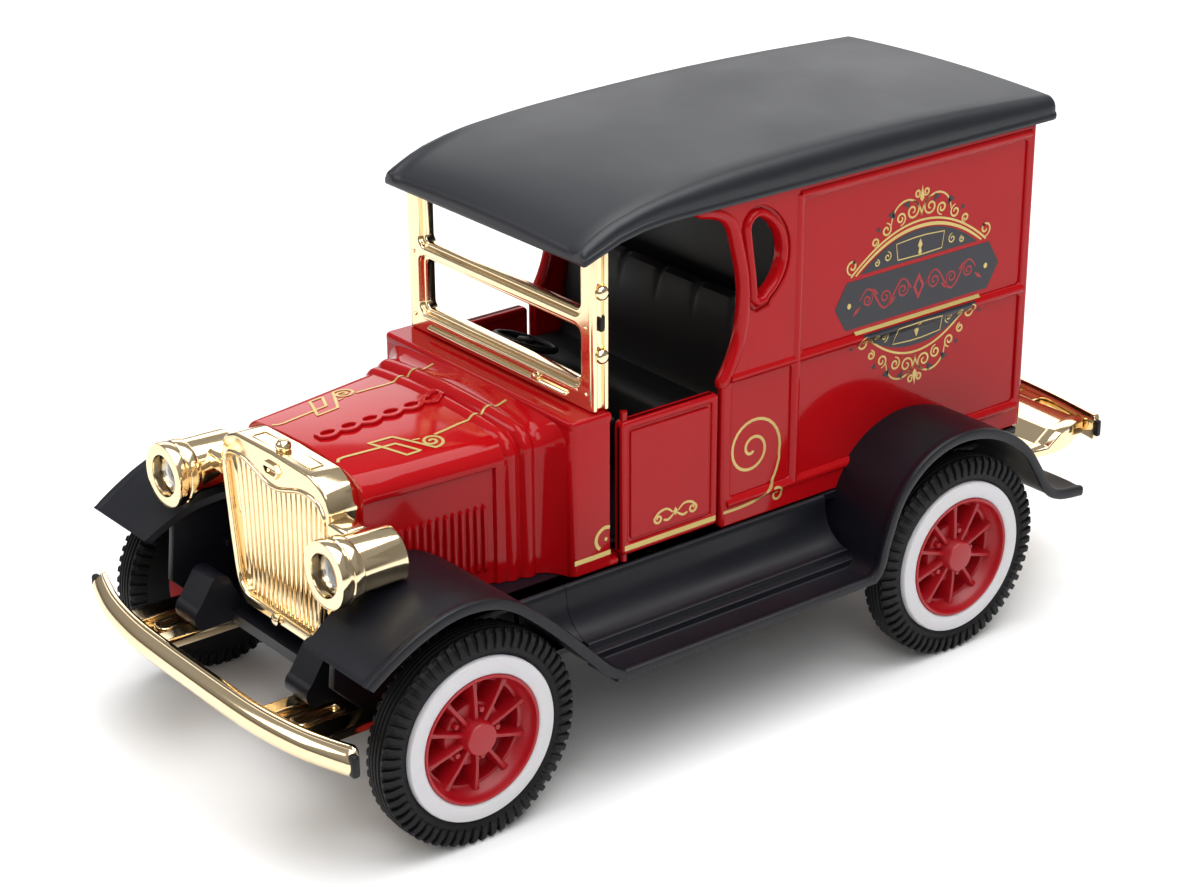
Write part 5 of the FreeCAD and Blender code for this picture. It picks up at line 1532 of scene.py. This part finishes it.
@dataclass
class SidePrints:
    """Gold and charcoal prints on one side of the van: sill line, spiral, badge and flourish."""

    side: Side
    casting: BodyCasting
    door: Door
    film: float = 0.03
    gap: float = 0.015
    sill_z: float = 27.85
    badge_centre: Point2 = (35.9, 52.7)
    banner_half: Point2 = (16.1, 3.55)
    dome_half: float = 12.3

    def wall_x(self, y: float, z: float) -> float:
        """How far out the van box's side stands at (y, z)."""
        casting = self.casting
        sunk = casting.half_width - casting.panel_depth
        depth = max(min(y - a[0], a[1] - y, z - b[0], b[1] - z) for a, b in casting.side_panels())
        share = min(1.0, max(0.0, depth / casting.panel_edge))
        wall = casting.half_width + (sunk - casting.half_width) * share**1.6
        for middle in (casting.belt_z, casting.foot_bead_z):
            offset = abs(z - middle) / (casting.bead_width / 2)
            if offset < 1:
                rise = casting.bead_rise * math.cos(math.pi / 2 * offset) ** FULLNESS
                wall = max(wall, casting.half_width + rise)
        return wall

    def on_wall(self, y: float, z: float, height: float) -> Point3:
        """Puts a print on the van box's side."""
        return (self.wall_x(y, z) + self.gap + height, y, z)

    def on_film(self, y: float, z: float, height: float) -> Point3:
        """Puts a second print on top of a first one."""
        return self.on_wall(y, z, height + self.film)

    def at_badge(self, points: Loop, way: int = 1, up: int = 1, shift: Point2 = (0, 0)) -> list[Point2]:
        """Points given from a shifted origin and mirrored about the badge's middle.

        Args:
            points: the points.
            way: 1 for the rear half of the badge, -1 for its front half.
            up: 1 for the upper half, -1 for the lower half.
            shift: the origin, from the badge's middle.
        Returns:
            The points on the van's side.
        """
        cy, cz = self.badge_centre
        return [(cy + way * (shift[0] + a), cz + up * (shift[1] + b)) for a, b in points]

    def line(self, path: Loop, width: float, place: Place, even: bool = True) -> Shape:
        """One printed stroke."""
        widths = [width] * len(path) if even else tapered(len(path), width)
        return ribbon(path, widths, place, self.film)

    def dab(self, outline: Loop, place: Place, height: float = 0.035, edge: float = 0.005) -> Shape:
        """Small filled print inside an outline."""
        return plate(outline, [], (0, height), edge, place, steps=1)

    def patch(self, low: Loop, high: Loop, place: Place, rows: int = 10) -> Shape:
        """Filled print between a lower and an upper run of points."""
        rings = []
        for foot, head in zip(low, high):
            column = [tuple(Vector(foot).lerp(Vector(head), row / rows)) for row in range(rows + 1)]
            ring = [place(*point, -0.01) for point in column]
            rings.append(ring + [place(*point, self.film) for point in column[::-1]])
        return loft(rings)

    def pillar_spiral(self) -> Shape:
        """Sill line that runs behind the door, climbs and winds into the large spiral."""
        tail = smooth_path([(-0.4, self.sill_z), (3, 27.88), (6, 28.3), (8.2, 29.5), (9.4, 31.2),
            (10.05, 33.2)], 5)
        wind = spiral((5, 35.9), 5.35, 0.35, 1.9, -0.35, 26)
        shape = self.line(tail + wind, 0.42, self.on_wall)
        hook = spiral((9.3, 28), 1.25, 0.3, -1.2, 2.1, 14)
        return shape.add(self.line(hook, 0.34, self.on_wall))

    def cowl_lines(self) -> Shape:
        """Sill line and hook on the cowl's side."""
        place = side_place(self.casting.cowl_half + 0.035)
        shape = self.line([(-26.2, 27.75), (-23, 27.75), (-20.1, 27.8)], 0.7, place)
        hook = smooth_path([(-20.25, 31.5), (-21.2, 31.6), (-22.2, 31), (-22.6, 30), (-22.3, 29.1),
            (-21.9, 28.7)], 4)
        shape.add(self.line(hook, 0.5, place))
        dot = [(-20.9 + 0.3 * math.cos(a), 29.9 + 0.3 * math.sin(a)) for a in (0, 1.26, 2.51, 3.77, 5.03)]
        return shape.add(self.dab(dot, place, 0.04))

    def door_prints(self) -> Shape:
        """Sill line on the door's rim and the scrolled flourish above it."""
        rim, panel = side_place(self.door.outer_x + self.gap), side_place(self.door.outer_x - 0.08 + self.gap)
        shape = self.line([(y, self.sill_z) for y in (-18.2, -10, -2.2)], 0.75, rim)
        cy, cz = -9.3, 30.9
        for way in (-1, 1):
            curl = [(cy + way * a, cz + b) for a, b in ((0.5, 0), (1.5, 0.75), (2.8, 0.6), (3.7, -0.2))]
            start = 0.2 if way > 0 else math.pi - 0.2
            end = spiral((cy + way * 3, cz - 0.35), 0.75, 0.2, -way * 1.1, start, 12)
            shape.add(self.line(smooth_path(curl, 5) + end[1:], 0.36, panel, even=False))
            leaf = [(cy + way * a, cz + b) for a, b in ((0.3, -0.3), (1.3, -0.9), (2.1, -0.7))]
            shape.add(self.line(smooth_path(leaf, 4), 0.34, panel, even=False))
        diamond = [(cy - 0.42, cz), (cy, cz - 0.62), (cy + 0.42, cz), (cy, cz + 0.62)]
        return shape.add(self.dab(diamond, panel, 0.04))

    def dome_edge(self, low_z: float, rise: float, half: float, count: int = 40) -> list[Point2]:
        """Points along a shallow arch."""
        cy = self.badge_centre[0]
        shares = [-1 + 2 * index / count for index in range(count + 1)]
        return [(cy + half * share, low_z + rise * (1 - abs(share) ** 2.1)) for share in shares]

    def badge_fills(self) -> Shape:
        """Charcoal banner, the two domes and the small dark leaves."""
        cz = self.badge_centre[1]
        wide, tall = self.banner_half
        shares = [-1, -0.93, -0.865, *[-0.8 + 1.6 * index / 24 for index in range(25)], 0.865, 0.93, 1]
        heights = [tall * min(1.0, (1 - abs(share)) / 0.135) for share in shares]
        half = [(wide * share, height) for share, height in zip(shares, heights)]
        shape = self.patch(self.at_badge(half, up=-1), self.at_badge(half), self.on_wall)
        top_base = cz + tall + 0.65
        arch = self.dome_edge(top_base, 4.3, self.dome_half - 0.9)
        shape.add(self.patch([(y, top_base) for y, _ in arch], arch, self.on_wall))
        foot = cz - tall - 1.15
        arch = [(y, 2 * foot - z) for y, z in self.dome_edge(foot, 4.2, self.dome_half - 1)]
        shape.add(self.patch(arch, [(y, foot) for y, _ in arch], self.on_wall, rows=14))
        for way in (-1, 1):
            for y, z, size in ((2.3, 12, 1.3), (5.1, 11, 1.4), (7.8, 9.6, 0.9), (12.4, 6, 0.7)):
                leaf = [(0, 0), (size, size * 0.5), (size * 0.2, size)]
                for up, drop in ((1, 0), (-1, 0.3)):
                    drawn = self.at_badge(leaf, way, up, (y, z + drop))
                    shape.add(self.dab(drawn, self.on_wall, self.film))
        return shape

    def scrolls(self, up: int) -> Shape:
        """Gold scrollwork above the upper dome, or below the lower one."""
        half = 13.2 if up > 0 else 10.6
        base = self.banner_half[1] + (0.65 if up > 0 else 1.2)
        rise = 5.6 if up > 0 else 5.2
        crest = base + rise

        def stroke(points: Loop, width: float, even: bool = False, way: int = 1) -> Shape:
            """Stroke given from the badge's middle."""
            return self.line(self.at_badge(points, way, up), width, self.on_wall, even)

        arch = [(half * (-1 + index / 20),
            base + rise * (1 - abs(-1 + index / 20) ** 2)) for index in range(41)]
        shape = stroke(arch, 0.3, even=True)
        for way in (-1, 1):
            for (y, z), outer, turns, start in (((1.75, crest + 1.7), 1.45, 1.5, math.pi / 2),
                    ((4, crest + 1), 1.05, -1.4, -math.pi / 2), ((6.7, crest - 0.1), 1.05, 1.3, math.pi / 2),
                    ((8.8, crest - 1.5), 0.75, -1.3, -math.pi / 2),
                    ((half - 0.2, base + 1.5), 1.2, 1.25, -math.pi / 2),
                    ((0.8, crest + 4.1), 0.65, 1.2, math.pi)):
                curl = spiral((0, 0), outer, 0.25, turns, start, 14)
                shape.add(stroke([(y + a, z + b) for a, b in curl], 0.3, way=way))
            angles = [math.pi * index / 18 for index in range(19)]
            hoop = [(2.9 + 2.9 * math.cos(a), crest + 0.5 + 3 * math.sin(a)) for a in angles]
            shape.add(stroke(hoop, 0.28, way=way))
        finial = self.at_badge([(-0.4, 3.2), (0, 2.7), (0.4, 3.2), (0, 5.2)], 1, up, (0, crest))
        return shape.add(self.dab(finial, self.on_wall))

    def badge_lines(self) -> Shape:
        """Gold edges of the domes, what is drawn in them, the dots and the scrollwork."""
        cy, cz = self.badge_centre
        tall = self.banner_half[1]
        shape = self.scrolls(1).add(self.scrolls(-1))
        top_base = cz + tall + 0.65
        arch = self.dome_edge(top_base, 4.75, self.dome_half)
        shape.add(self.line(arch, 0.5, self.on_wall, even=False))
        foot = cz - tall - 0.75
        bar = [(cy + self.dome_half * (-1 + index / 12), foot) for index in range(25)]
        shape.add(self.line(bar, 0.4, self.on_wall))
        for base, up in ((top_base, 1), (foot - 0.5, -1)):
            frame = [(-4.3, 0.55), (-4.7, 3), (-1.2, 3.25), (1.2, 3.25), (4.7, 3), (4.3, 0.55), (0, 0.45),
                (-4.3, 0.55)]
            shift = (0, (base - cz) * up)
            shape.add(self.line(self.at_badge(frame, 1, up, shift), 0.16, self.on_film))
            bud = [(-0.35, 0.8), (0, 0.5), (0.35, 0.8), (0.15, 1.5), (0.45, 1.9), (0, 2.9), (-0.45, 1.9),
                (-0.15, 1.5)]
            shape.add(self.dab(self.at_badge(bud, 1, up, shift), self.on_film, 0.03, 0.004))
            for way in (-1, 1):
                for y, z, outer in ((6.3, 1.5, 0.8), (8.3, 1, 0.55)):
                    curl = spiral((0, 0), outer, 0.15, 1.3, math.pi / 2, 12)
                    path = self.at_badge(curl, way, up, (y, z + shift[1]))
                    shape.add(self.line(path, 0.2, self.on_film, even=False))
        for way in (-1, 1):
            ring = [math.tau * step / 10 for step in range(10)]
            dot = [(cy + way * 13.4 + 0.36 * math.cos(a), cz + 0.42 * math.sin(a)) for a in ring]
            shape.add(self.dab(dot, self.on_film))
        return shape

    def banner_scroll(self) -> Shape:
        """Red running scroll along the banner: a middle diamond and mirrored curls."""
        outer, inner = (self.at_badge([(-a, 0), (0, -b), (a, 0), (0, b)]) for a, b in ((1.1, 2), (0.6, 1.15)))
        shape = plate(outer, [inner], (0, 0.035), 0.004, self.on_film, steps=1)
        reach = [1.4 + 0.25 * index for index in range(41)]
        stem = [(a, 1.75 * math.sin(math.pi * (a - 1.4) / 3.4)) for a in reach]
        for way in (-1, 1):
            shape.add(self.line(self.at_badge(stem, way), 0.3, self.on_film, even=False))
            for index, offset in enumerate((3.1, 6.5, 9.9)):
                up = 1 if index % 2 == 0 else -1
                size = 1.25 - 0.12 * index
                curl = spiral((0, 0), size, 0.22, 1.45, math.pi * 0.75, 16)
                path = self.at_badge(curl, way, up, (offset, 0.15))
                shape.add(self.line(path, 0.26, self.on_film, even=False))
                leaf = self.at_badge([(1.3, -0.5), (1.9, -1.35), (2.9, -1.75), (2.2, -0.85)], way, up,
                    (offset, 0))
                shape.add(self.dab(leaf, self.on_film, 0.03, 0.004))
        return shape

    def build(self, finishes: Finishes) -> None:
        """Makes this side's prints."""
        side, gold = self.side.value, finishes.gold_ink
        for name, shape, ink, body, slot in (("sill_lines", self.pillar_spiral().add(self.cowl_lines()), gold,
                "van", "gold_plating"), ("door_lines", self.door_prints(), gold, f"{side}_door",
                "gold_plating"), ("badge_charcoal", self.badge_fills(), finishes.charcoal_ink, "van",
                "roof_plastic"), ("badge_gold", self.badge_lines(), gold, "van", "gold_plating"),
                ("badge_red", self.banner_scroll(), finishes.wheel, "van", "body_paint")):
            make_piece(f"{side}_{name}", shape.on(self.side), ink, body, slot=slot)


@dataclass
class HoodPrints:
    """Gold lines on the hood: a fret of two crossed lozenges, a spiral and a line to the cowl."""

    casting: BodyCasting
    width: float = 0.42
    thin: float = 0.378

    def place(self, x: float, y: float, height: float) -> Point3:
        """Puts a print just clear of the hood's crown."""
        return self.casting.hood_top(x, y, height + 0.06)

    def build(self, finishes: Finishes) -> None:
        """Makes both sides' lines as one piece."""
        fret = [(7.9, -53.9), (7.3, -53.4), (7.2, -52.5), (7.7, -48.8), (8.2, -45.1), (11.6, -43.5),
            (11.5, -45.6)]
        fret += [(8.8, -46.7), (6, -47.9), (6.4, -44.4), (9.3, -42.9), (12.2, -41.4)]
        dense = [fret[0]]
        for here in fret[1:]:
            before = Vector(dense[-1])
            dense += [tuple(before.lerp(Vector(here), step / 6)) for step in range(1, 7)]
        wind = spiral((10.4, -40.9), 1.75, 0.2, 1.75, -0.3, 16)
        away = smooth_path([(9.2, -39.6), (9, -37.5), (8.7, -35.4)], 5)
        rear = [(8.7 - 0.012 * index, -35.4 + 0.3 * index) for index in range(28)]
        dash = [(8.7, -42.8), (8.85, -42.3), (9, -41.8)]
        shape = Shape()
        for path, width in ((dense, self.width), (wind, self.width), (away, self.width), (rear, self.thin),
                (dash, 0.25)):
            shape.add(ribbon(path, [width] * len(path), self.place, 0.03))
        make_piece("hood_lines", shape.both_sides(), finishes.gold_ink, "van", slot="gold_plating")


# ---- motor, fasteners and studio


@dataclass
class Underside:
    """Chassis, axles, friction motor and screws, most of them kept as the frame has them."""

    kept: tuple[tuple[str, str], ...] = (("chassis", "wings"), ("axle_clip", "wings"),
        ("front_axle", "steel"), ("rear_axle", "steel"), ("drive_gear", "nylon"), ("reduction_gear", "nylon"),
        ("flywheel_pinion", "nylon"), ("reduction_pin", "steel"), ("flywheel", "steel"),
        ("flywheel_shaft", "steel"), ("motor_case_left", "motor_case"), ("motor_case_right", "motor_case"),
        ("door_hinge_pin_left", "painted_steel"), ("door_hinge_pin_right", "painted_steel"))
    plate_z: float = 17.0
    head_radius: float = 1.8
    head: float = 1.2

    def pan_head(self, x: float, y: float, shank_top: float) -> Shape:
        """Domed cross-head screw driven upwards at (x, y)."""
        low = self.plate_z - self.head
        profile = [(low, 0), (low, 0.9), (low + 0.12, 1.4), (low + 0.45, 1.72), (low + 0.8, self.head_radius)]
        profile += [(self.plate_z, self.head_radius), (self.plate_z, 0.88), (shank_top, 0.88), (shank_top, 0)]
        shape = turned(profile, Axis.Z, (x, y, 0), 28)
        for wide, deep in ((1.05, 0.2), (0.2, 1.05)):
            shape.add(block((x - wide, x + wide), (y - deep, y + deep), (low - 0.03, low + 0.05), 0.02))
        return shape

    def case_screw(self, z: float) -> Shape:
        """Slotted screw driven across the motor case at height z."""
        profile = [(-10, 0), (-9.98, 0.8), (-9.8, 1.25), (-9.5, 1.4), (-9, 1.4), (-9, 0.68), (6.5, 0.68)]
        screw = turned([*profile, (6.5, 0)], Axis.X, (0, 9.2, z), 20)
        return screw.add(block((-10.03, -9.9), (8.2, 10.2), (z - 0.2, z + 0.2), 0.02))

    def build(self, finishes: Finishes, repeater: Repeater) -> None:
        """Gives the kept nodes their finishes and makes the screws."""
        for node, finish in self.kept:
            target = frame["nodes"][node]
            target.data.materials.clear()
            target.data.materials.append(getattr(finishes, finish))
            LOG.info("%s: kept from the frame", node)
        body = [(self.pan_head(x, y, 25.9), (-2 * x, 0, 0)) for x, y in ((9, -44), (14, 53))]
        mount = [(self.pan_head(11.2, y, 19.8), (-22.4, 0, 0)) for y in (12, 39)]
        case = [(self.case_screw(z), (0, 32.4, 0)) for z in (8.9, 24.1)]
        for name, seeds in (("body", body), ("motor_mount", mount), ("case", case)):
            pairs = [repeater.run(seed, 2, step) for seed, step in seeds]
            make_piece(f"{name}_screw_heads", Shape().add(*pairs), finishes.steel, "van", [f"{name}_screws"])


@dataclass
class Studio:
    """Floor, soft lights and the camera."""

    camera_mm: Point3 = (285.02, -230.65, 189.5)
    azimuth: float = 52.7
    elevation: float = 23.4
    roll: float = -0.635
    lens: float = 84.9
    shift: Point2 = (0.0342, 0.0003)
    sky_strength: float = 0.34
    # Name, place, aim, size and power of each soft box, in metres and watts.
    lamps: tuple[tuple[str, Point3, Point3, Point2, float],
        ...] = (("overhead", (0.1, 0.1, 1.1), (0.0, 0.0, 0.0), (1.1, 1.1), 16.0),
        ("left_front", (0.85, -0.6, 1), (0, 0, 0.03), (0.7, 0.7), 6),
        ("right_front", (-0.7, -0.9, 0.9), (0, -0.02, 0.03), (0.6, 0.6), 4),
        ("rear", (-1.15, 0.9, 0.62), (0, 0, 0.06), (1.5, 0.6), 5.2))

    def camera(self) -> None:
        """Sets the camera, turned by its azimuth, elevation and roll."""
        data = bpy.data.cameras.new("camera")
        data.lens = self.lens
        data.sensor_width = 36
        data.shift_x, data.shift_y = self.shift
        data.clip_start, data.clip_end = 0.01, 20.0
        eye = put_in_scene("camera", data)
        azimuth, elevation = math.radians(self.azimuth), math.radians(self.elevation)
        level = math.cos(elevation)
        ahead = Vector((-math.sin(azimuth) * level, math.cos(azimuth) * level, -math.sin(elevation)))
        right = ahead.cross(Vector((0, 0, 1))).normalized()
        up = right.cross(ahead)
        turn = math.radians(self.roll)
        tilted_right = right * math.cos(turn) + up * math.sin(turn)
        tilted_up = up * math.cos(turn) - right * math.sin(turn)
        axes = (tilted_right, tilted_up, -ahead, Vector(self.camera_mm) * MM)
        eye.matrix_world = Matrix([[axis[row] for axis in axes] for row in range(3)] + [[0, 0, 0, 1]])
        bpy.context.scene.camera = eye

    def floor(self) -> None:
        """Plain pale floor, curved up far behind the van."""
        points = [(-6, 0), (2.2, 0), (2.8, 0.05), (3.3, 0.25), (3.7, 0.7), (3.9, 1.4), (3.9, 4)]
        far = 5
        mesh = bpy.data.meshes.new("floor")
        vertices = [(-far, y, z) for y, z in points] + [(far, y, z) for y, z in points]
        count = len(points)
        faces = [(i, i + 1, count + i + 1, count + i) for i in range(count - 1)]
        mesh.from_pydata(vertices, [], [face[::-1] for face in faces])
        for polygon in mesh.polygons:
            polygon.use_smooth = True
        # Matt seamless paper: white, without any sheen.
        paper = Finish("matt_paper_backdrop", "#F4F4F4", "#F1F1F1", 0.7, 0.02, 3.0, 0.004, patch_mm=300.0)
        mesh.materials.append(paper.build())
        floor = put_in_scene("floor", mesh)
        floor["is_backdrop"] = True

    def lamp(self, name: str, place: Point3, aim: Point3, size: Point2, watts: float) -> None:
        """One large soft box."""
        data = bpy.data.lights.new(name, "AREA")
        data.shape = "RECTANGLE"
        data.size, data.size_y = size
        data.energy = watts
        lamp = put_in_scene(name, data)
        lamp.location = place
        lamp.rotation_euler = (Vector(aim) - Vector(place)).to_track_quat("-Z", "Y").to_euler()

    def sky(self) -> None:
        """White room that is darker low down, for the plating to mirror."""
        world = bpy.data.worlds.new("studio")
        world.use_nodes = True
        tree = world.node_tree
        tree.nodes.clear()
        place = add_node(tree, "ShaderNodeTexCoord").outputs["Generated"]
        split = add_node(tree, "ShaderNodeSeparateXYZ", {0: place})
        ramp = add_node(tree, "ShaderNodeValToRGB", {"Fac": split.outputs["Z"]})
        bands = ramp.color_ramp.elements
        bands[0].position, bands[0].color = 0.02, (0.30, 0.26, 0.22, 1.0)
        bands[1].position, bands[1].color = 0.55, (1.0, 1.0, 1.0, 1.0)
        bands.new(0.22).color = (0.78, 0.77, 0.76, 1.0)
        sky = add_node(tree, "ShaderNodeBackground", {"Color": ramp.outputs[0],
            "Strength": self.sky_strength})
        add_node(tree, "ShaderNodeOutputWorld", {"Surface": sky.outputs[0]})
        bpy.context.scene.world = world

    def build(self) -> None:
        """Sets up the whole studio."""
        self.camera()
        self.floor()
        self.sky()
        for lamp in self.lamps:
            self.lamp(*lamp)
        bpy.context.scene.view_settings.view_transform = "Standard"


# ---- the van


def main() -> None:
    """Builds the van's sub-assemblies in order."""
    logging.basicConfig(level=logging.INFO, format="%(name)s %(message)s")
    finishes = Finishes()
    repeater = Repeater()
    Studio().build()
    casting = BodyCasting()
    casting.build(finishes, repeater)
    HoodPrints(casting).build(finishes)
    for side in Side:
        door = Door(side)
        door.build(finishes)
        Wings(side).build(finishes)
        Headlamp(side).build(finishes)
        SidePrints(side, casting, door).build(finishes)
        RoadWheel(End.FRONT, side, axle_y=-50.5).build(finishes, repeater)
        RoadWheel(End.REAR, side, axle_y=34.6).build(finishes, repeater)
    Roof().build(finishes)
    Windshield().build(finishes, repeater)
    CabInterior().build(finishes)
    SteeringWheel().build(finishes)
    Radiator().build(finishes, repeater)
    FrontBumper().build(finishes)
    TailTrim().build(finishes)
    Underside().build(finishes, repeater)
    sizes = {name: [list(corner) for corner in box] for name,
        box in (("cad", cad_bounds), ("visual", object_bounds()))}


if __name__ == "__main__":
    main()
